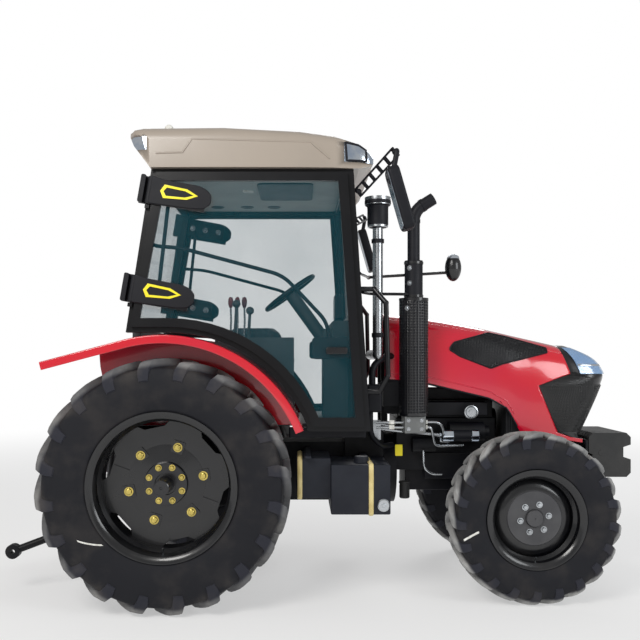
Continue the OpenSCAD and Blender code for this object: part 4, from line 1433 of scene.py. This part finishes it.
class TRACTOR_OT_fittings(bpy.types.Operator):
    """Pipes, filters and bolts of the engine bay, tank straps, sills and trim"""

    bl_idname = "tractor.fittings"
    bl_label = "Fittings"

    def execute(self, context):
        self.pipes()
        self.engine_bay()
        self.tank()
        self.trim()
        return {"FINISHED"}

    def pipes(self):
        pipes, ends, ducts = Form(), Form(), Form()
        for line in (
            [(1180, -462, 1004), (1345, -462, 1004)],
            [(1180, -462, 975), (1345, -462, 975)],
            [(1462, -440, 1004), (1562, -440, 1004), (1590, -400, 930), (1590, -300, 900)],
            [(1462, -440, 975), (1506, -440, 975), (1534, -400, 858), (1720, -310, 855)],
            [(1480, -300, 820), (1480, -320, 720), (1530, -305, 680), (1600, -240, 670)],
        ):
            pipes.rod(bent(line, 40), 7, 12)
        fixed("engine_pipes", pipes, "steel", "steel")
        for z in (1004, 975):
            ends.rod([(1256, -462, z), (1286, -462, z)], 13.5, 6)
            ends.rod([(1466, -440, z), (1484, -440, z)], 13.5, 6)
        fixed("pipe_fittings", ends, "white", "steel")
        for radius, line in (
            (20, [(1160, -430, 1220), (1160, -430, 1330), (1240, -380, 1392), (1330, -250, 1392)]),
            (16, [(1150, -430, 1066), (1150, -430, 920), (1230, -330, 850), (1300, -240, 850)]),
        ):
            ducts.rod(bent(line, 60), radius, 14)
        fixed("engine_ducts", ducts, "plastic", "plastic")

    def engine_bay(self):
        ends = Form()
        for x0, x1 in ((1588, 1660), (1762, 1812)):
            profile = [(0, x0), (32, x0), (37, x0 + 5), (37, x1 - 5), (32, x1), (0, x1)]
            ends.lathe(profile, COOLER, (1, 0, 0), 40)
        # Bright ends in the reflector finish, whose bluish tones are painted sky reflection.
        fixed("cooler_ends", ends, "chrome", "steel")
        barrel = [(0, 1650), (34, 1650), (34, 1770), (0, 1770)]
        fixed("cooler_barrel", Form().lathe(barrel, COOLER, (1, 0, 0), 40), "plastic", "engine")
        pulley = [(0, 0), (41, 0), (41, 14), (35, 16), (29, 10), (14, 10), (14, 20), (0, 20)]
        form = Form().lathe(pulley, (1765, -316, 1055), (0, -1, 0), 40)
        fixed("alternator_pulley", form, "steel", "steel")
        oil = [
            (0, 535), (26, 535), (31, 541), (31, 612), (28, 622), (34, 624), (34, 636), (0, 636),
        ]
        fixed("oil_filter", Form().turned(oil, 1367, -300, 36), "iron", "engine")
        box = Form().box((1128, -472, 1062), (1216, -384, 1226))
        fixed("control_box", box, "plastic", "plastic", bevel=14, segments=3)
        shield = Form().slab(rectangle(1246, 1040, 1392, 1345, 30), upright(-262), 0, 5)
        shield.box((1236, -330, 1090), (1330, -180, 1240))
        fixed("heat_shield", shield, "plastic", "black", bevel=2)
        tag = Form().slab(rectangle(1312, 788, 1356, 856, 4), upright(-290), 0, 3)
        fixed("bare_tag", tag, "yellow", "plastic")
        bolts = Form()
        for z in (968, 1018):
            for x in (1365, 1441):
                bolts.join(bolt_unit(15, 9, (0, -1, 0)).moved(Matrix.Translation((x, -502, z))))
        fixed("exhaust_box_bolts", bolts, "steel", "steel")

    def tank(self):
        straps = Form()
        for x, y, low, high in ((1136, -653, 497, 783), (735, -603, 580, 815)):
            line = [(x, -300, high), (x, y, high), (x, y, low), (x, -300, low)]
            strap = Form().rod(bent(line, 24), 7, 8)
            # A strap is twice as wide as it is thick
            for p in strap.points:
                p.x = x + (p.x - x) * 2
            straps.join(strap)
        fixed("tank_straps", straps, "cream", "plastic")
        cap = [(0, -4), (34, -4), (36, 2), (36, 16), (30, 22), (12, 22), (10, 26), (0, 26)]
        form = Form().lathe(cap, (1204, -650, 556), (0, -1, 0), 40)
        fixed("tank_drain_cap", form, "steel", "steel")

    def trim(self):
        sill = Form().slab(rectangle(672, -598, 1112, -556, 12), flat, 928, 986)
        pair("cab_{}_sill", sill, "plastic", CHASSIS, "black", bevel=6, segments=3)
        outline = [(2302, 912), (2446, 890), (2446, 868), (2302, 890)]
        strip = Form().slab(outline, upright(-284), 0, 8)
        pair("nose_{}_strip", strip, "red", NODES["hood_shell"]["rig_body"], "red", bevel=2)


FENDER_R, FENDER_IN, FENDER_OUT = 815, 480, 905
FENDER_DROP = 130 / 489.1


class TRACTOR_OT_fenders(bpy.types.Operator):
    """Red fenders with a deep lip, and their inner walls"""

    bl_idname = "tractor.fenders"
    bl_label = "Fenders"

    def execute(self, context):
        axle = REAR_AXLE.z / MM
        arc = [(math.cos(a), math.sin(a)) for a in map(math.radians, range(22, 106))]
        path = [(FENDER_R * c, FENDER_R * s, c, s) for c, s in arc]
        slant = math.hypot(1, FENDER_DROP)
        x0, z0 = path[-1][:2]
        for x in range(-240, -651, -41):
            path.append((x, z0 + (x - x0) * FENDER_DROP, -FENDER_DROP / slant, 1 / slant))
        section = [
            (FENDER_IN, 0), (880, 0), (897, -1), (903, -5), (FENDER_OUT, -12), (FENDER_OUT, -43),
            (903, -46), (898, -46), (895, -43), (895, -16), (892, -13), (FENDER_IN, -12),
        ]
        band = Form().loft([
            [(u + nu * depth, -y, axle + v + nv * depth) for y, depth in section]
            for u, v, nu, nv in path
        ])
        pair("fender_{}_band", band, "red", CHASSIS, "red", angle=30, stands_for=["fenders"])
        wall = [((FENDER_R - 7) * c, (FENDER_R - 7) * s) for c, s in arc]
        wall += [(-330, 745), (-430, 718), (-424, 640), (-380, 420), (-340, 300)]
        inner = Form().slab(wall, lambda u, v, w: (u, -w, axle + v), FENDER_IN, FENDER_IN + 12)
        pair("fender_{}_wall", inner, "red", CHASSIS, "red", bevel=2)
        loom = Form()
        for k, y in enumerate((872, 852)):
            line = []
            for i, (u, v, nu, nv) in enumerate(path[62:93:2]):
                sag = 26 + 5 * math.sin(i * 0.9 + k)
                line.append((u - 26 * nu, -y, axle + v - sag * nv))
            loom.rod(line, 8, 10)
        pair("fender_{}_loom", loom, "plastic", CHASSIS, "plastic")
        return {"FINISHED"}


# Stage

EYE = (-0.149, -5.230, 1.386)
LENS, SENSOR, PICTURE = 45.9, 36, 640
SHIFT = (20, 37)
FLOOR_REACH = 40


class TRACTOR_OT_stage(bpy.types.Operator):
    """Pale floor, soft lights and the camera of the photograph"""

    bl_idname = "tractor.stage"
    bl_label = "Stage"

    def execute(self, context):
        scene = context.scene
        scene.view_settings.view_transform = "Standard"
        self.floor(scene)
        self.lights(scene)
        eye = bpy.data.cameras.new("camera")
        eye.lens, eye.sensor_width = LENS, SENSOR
        eye.shift_x, eye.shift_y = (pixels / PICTURE for pixels in SHIFT)
        eye.clip_end = 200
        camera = bpy.data.objects.new("camera", eye)
        camera.location = EYE
        camera.rotation_euler = (math.radians(90), 0, 0)
        scene.collection.objects.link(camera)
        scene.camera = camera
        return {"FINISHED"}

    def floor(self, scene):
        mesh = bpy.data.meshes.new("floor")
        signs = ((-1, -1), (1, -1), (1, 1), (-1, 1))
        corners = [(x * FLOOR_REACH, y * FLOOR_REACH, 0) for x, y in signs]
        mesh.from_pydata(corners, [], [(0, 1, 2, 3)])
        obj = bpy.data.objects.new("floor", mesh)
        scene.collection.objects.link(obj)
        pale = Paint("floor")
        pale.set(Base_Color=(0.86, 0.86, 0.86), Roughness=0.9)
        away = pale.node("ShaderNodeVectorMath", {"operation": "LENGTH"}, {0: pale.place}, out="Value")
        far = pale.steps(away, 3.0, 12.0) * 0.55 + 0.45
        glow = pale.node("ShaderNodeEmission", wires={"Color": (1, 1, 1, 1), "Strength": 1.0})
        body = Wire(pale, pale.shader.outputs[0])
        seen = pale.node("ShaderNodeMixShader", wires={0: far, 1: body, 2: glow})
        result = next(n for n in pale.tree.nodes if n.type == "OUTPUT_MATERIAL")
        pale.tree.links.new(seen.socket, result.inputs[0])
        mesh.materials.append(pale.material)

    def lights(self, scene):
        world = bpy.data.worlds.new("studio")
        scene.world = world
        world.use_nodes = True
        tree = world.node_tree
        back = next(n for n in tree.nodes if n.type == "BACKGROUND")
        ray = tree.nodes.new("ShaderNodeLightPath")
        total = tree.nodes.new("ShaderNodeMath")
        total.operation = "MAXIMUM"
        tree.links.new(ray.outputs["Is Camera Ray"], total.inputs[0])
        tree.links.new(ray.outputs["Is Transmission Ray"], total.inputs[1])
        level = tree.nodes.new("ShaderNodeMapRange")
        tree.links.new(total.outputs[0], level.inputs["Value"])
        level.inputs["To Min"].default_value = 0.4
        level.inputs["To Max"].default_value = 1.0
        tree.links.new(level.outputs[0], back.inputs["Strength"])
        back.inputs["Color"].default_value = (1, 1, 1, 1)
        for name, place, aim, wide, power, tone in (
            ("key", (-3.2, -6.0, 5.6), (0, 0, 1.0), 3.2, 300, (1.0, 0.98, 0.95)),
            ("fill", (5.0, -4.5, 3.2), (0.4, 0, 1.0), 3.0, 120, (0.95, 0.98, 1.0)),
            ("back", (1.5, 6.0, 5.0), (0, 0, 1.2), 3.5, 160, (1.0, 1.0, 1.0)),
        ):
            lamp = bpy.data.lights.new(name, "AREA")
            lamp.shape, lamp.size, lamp.energy, lamp.color = "DISK", wide, power, tone
            obj = bpy.data.objects.new(name, lamp)
            obj.location = place
            obj.rotation_euler = (Vector(aim) - Vector(place)).to_track_quat("-Z", "Y").to_euler()
            scene.collection.objects.link(obj)


# Finish, slot, rounding and the solids that take them
DRESSED = (
    ("cast", "cast", 8, "transmission"),
    ("cast", "cast", 5, "rear_axle front_frame"),
    ("cast", "cast", 4, "front_axle drawbar knuckle_left knuckle_right"),
    ("cast", "cast", 2, "hood_stand hood_hinges lift_arms lift_rods"),
    ("cast", "cast", 0, "hitch_bracket lower_links"),
    ("cast", "engine", 6, "engine"),
    ("cast", "engine", 4, "engine_auxiliaries"),
    ("fins", "radiator", 4, "radiator"),
    ("iron", "cast", 5, "front_weights"),
    ("plastic", "black", 0, "exhaust"),
    ("steel", "steel", 3, "hydraulic_pipes"),
    ("steel", "steel", 0, "air_intake pto_shaft"),
    ("tank", "plastic", 18, "fuel_tank"),
    ("black", "black", 5, "cab_sides cab_crossbars"),
    ("black", "black", 4, "battery_step door_frame_left door_frame_right"),
    ("black", "black", 0, "grab_handles"),
    ("inside", "plastic", 14, "dashboard"),
    ("inside", "plastic", 10, "side_console"),
    ("inside", "plastic", 5, "cab_floor"),
    ("plastic", "plastic", 0, "steering_wheel"),
    ("gloss", "plastic", 0, "front_mirror"),
    ("roof", "roof", 0, "roof"),
    ("chrome", "lamp", 4, "roof_lamps"),
    ("glass", "glass", 0, "fixed_glass door_glass_left door_glass_right"),
)


class TRACTOR_OT_solids(bpy.types.Operator):
    """Castings, frames and boxes: the solids with rounded edges and their finishes"""

    bl_idname = "tractor.solids"
    bl_label = "Castings and frames"

    def execute(self, context):
        for coat, slot, bevel, nodes in DRESSED:
            for node in nodes.split():
                dress(node, coat, slot, bevel)
        return {"FINISHED"}


class TRACTOR_PT_panel(bpy.types.Panel):
    """Lists the pieces of the tractor"""

    bl_idname = "TRACTOR_PT_panel"
    bl_label = "Farm tractor"
    bl_space_type = "VIEW_3D"
    bl_region_type = "UI"
    bl_category = "Tractor"

    def draw(self, context):
        for group in (context.scene.tractor_colours, context.scene.tractor_sizes):
            for name in group.__annotations__:
                self.layout.prop(group, name)
        for operator in OPERATORS:
            self.layout.operator(operator.bl_idname)


OPERATORS = (
    TRACTOR_OT_stage,
    TRACTOR_OT_solids,
    TRACTOR_OT_tyres,
    TRACTOR_OT_rims,
    TRACTOR_OT_hood,
    TRACTOR_OT_nose,
    TRACTOR_OT_doors,
    TRACTOR_OT_interior,
    TRACTOR_OT_roof,
    TRACTOR_OT_stacks,
    TRACTOR_OT_mirrors,
    TRACTOR_OT_fittings,
    TRACTOR_OT_fenders,
)
CLASSES = (TractorColours, TractorSizes, *OPERATORS, TRACTOR_PT_panel)


def register():
    for one in CLASSES:
        bpy.utils.register_class(one)
    bpy.types.Scene.tractor_colours = PointerProperty(type=TractorColours)
    bpy.types.Scene.tractor_sizes = PointerProperty(type=TractorSizes)


def unregister():
    del bpy.types.Scene.tractor_sizes
    del bpy.types.Scene.tractor_colours
    for one in reversed(CLASSES):
        bpy.utils.unregister_class(one)


def main():
    register()
    mix_paints()
    for one in OPERATORS:
        family, name = one.bl_idname.split(".")
        getattr(getattr(bpy.ops, family), name)()
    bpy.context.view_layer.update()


if __name__ == "__main__":
    main()
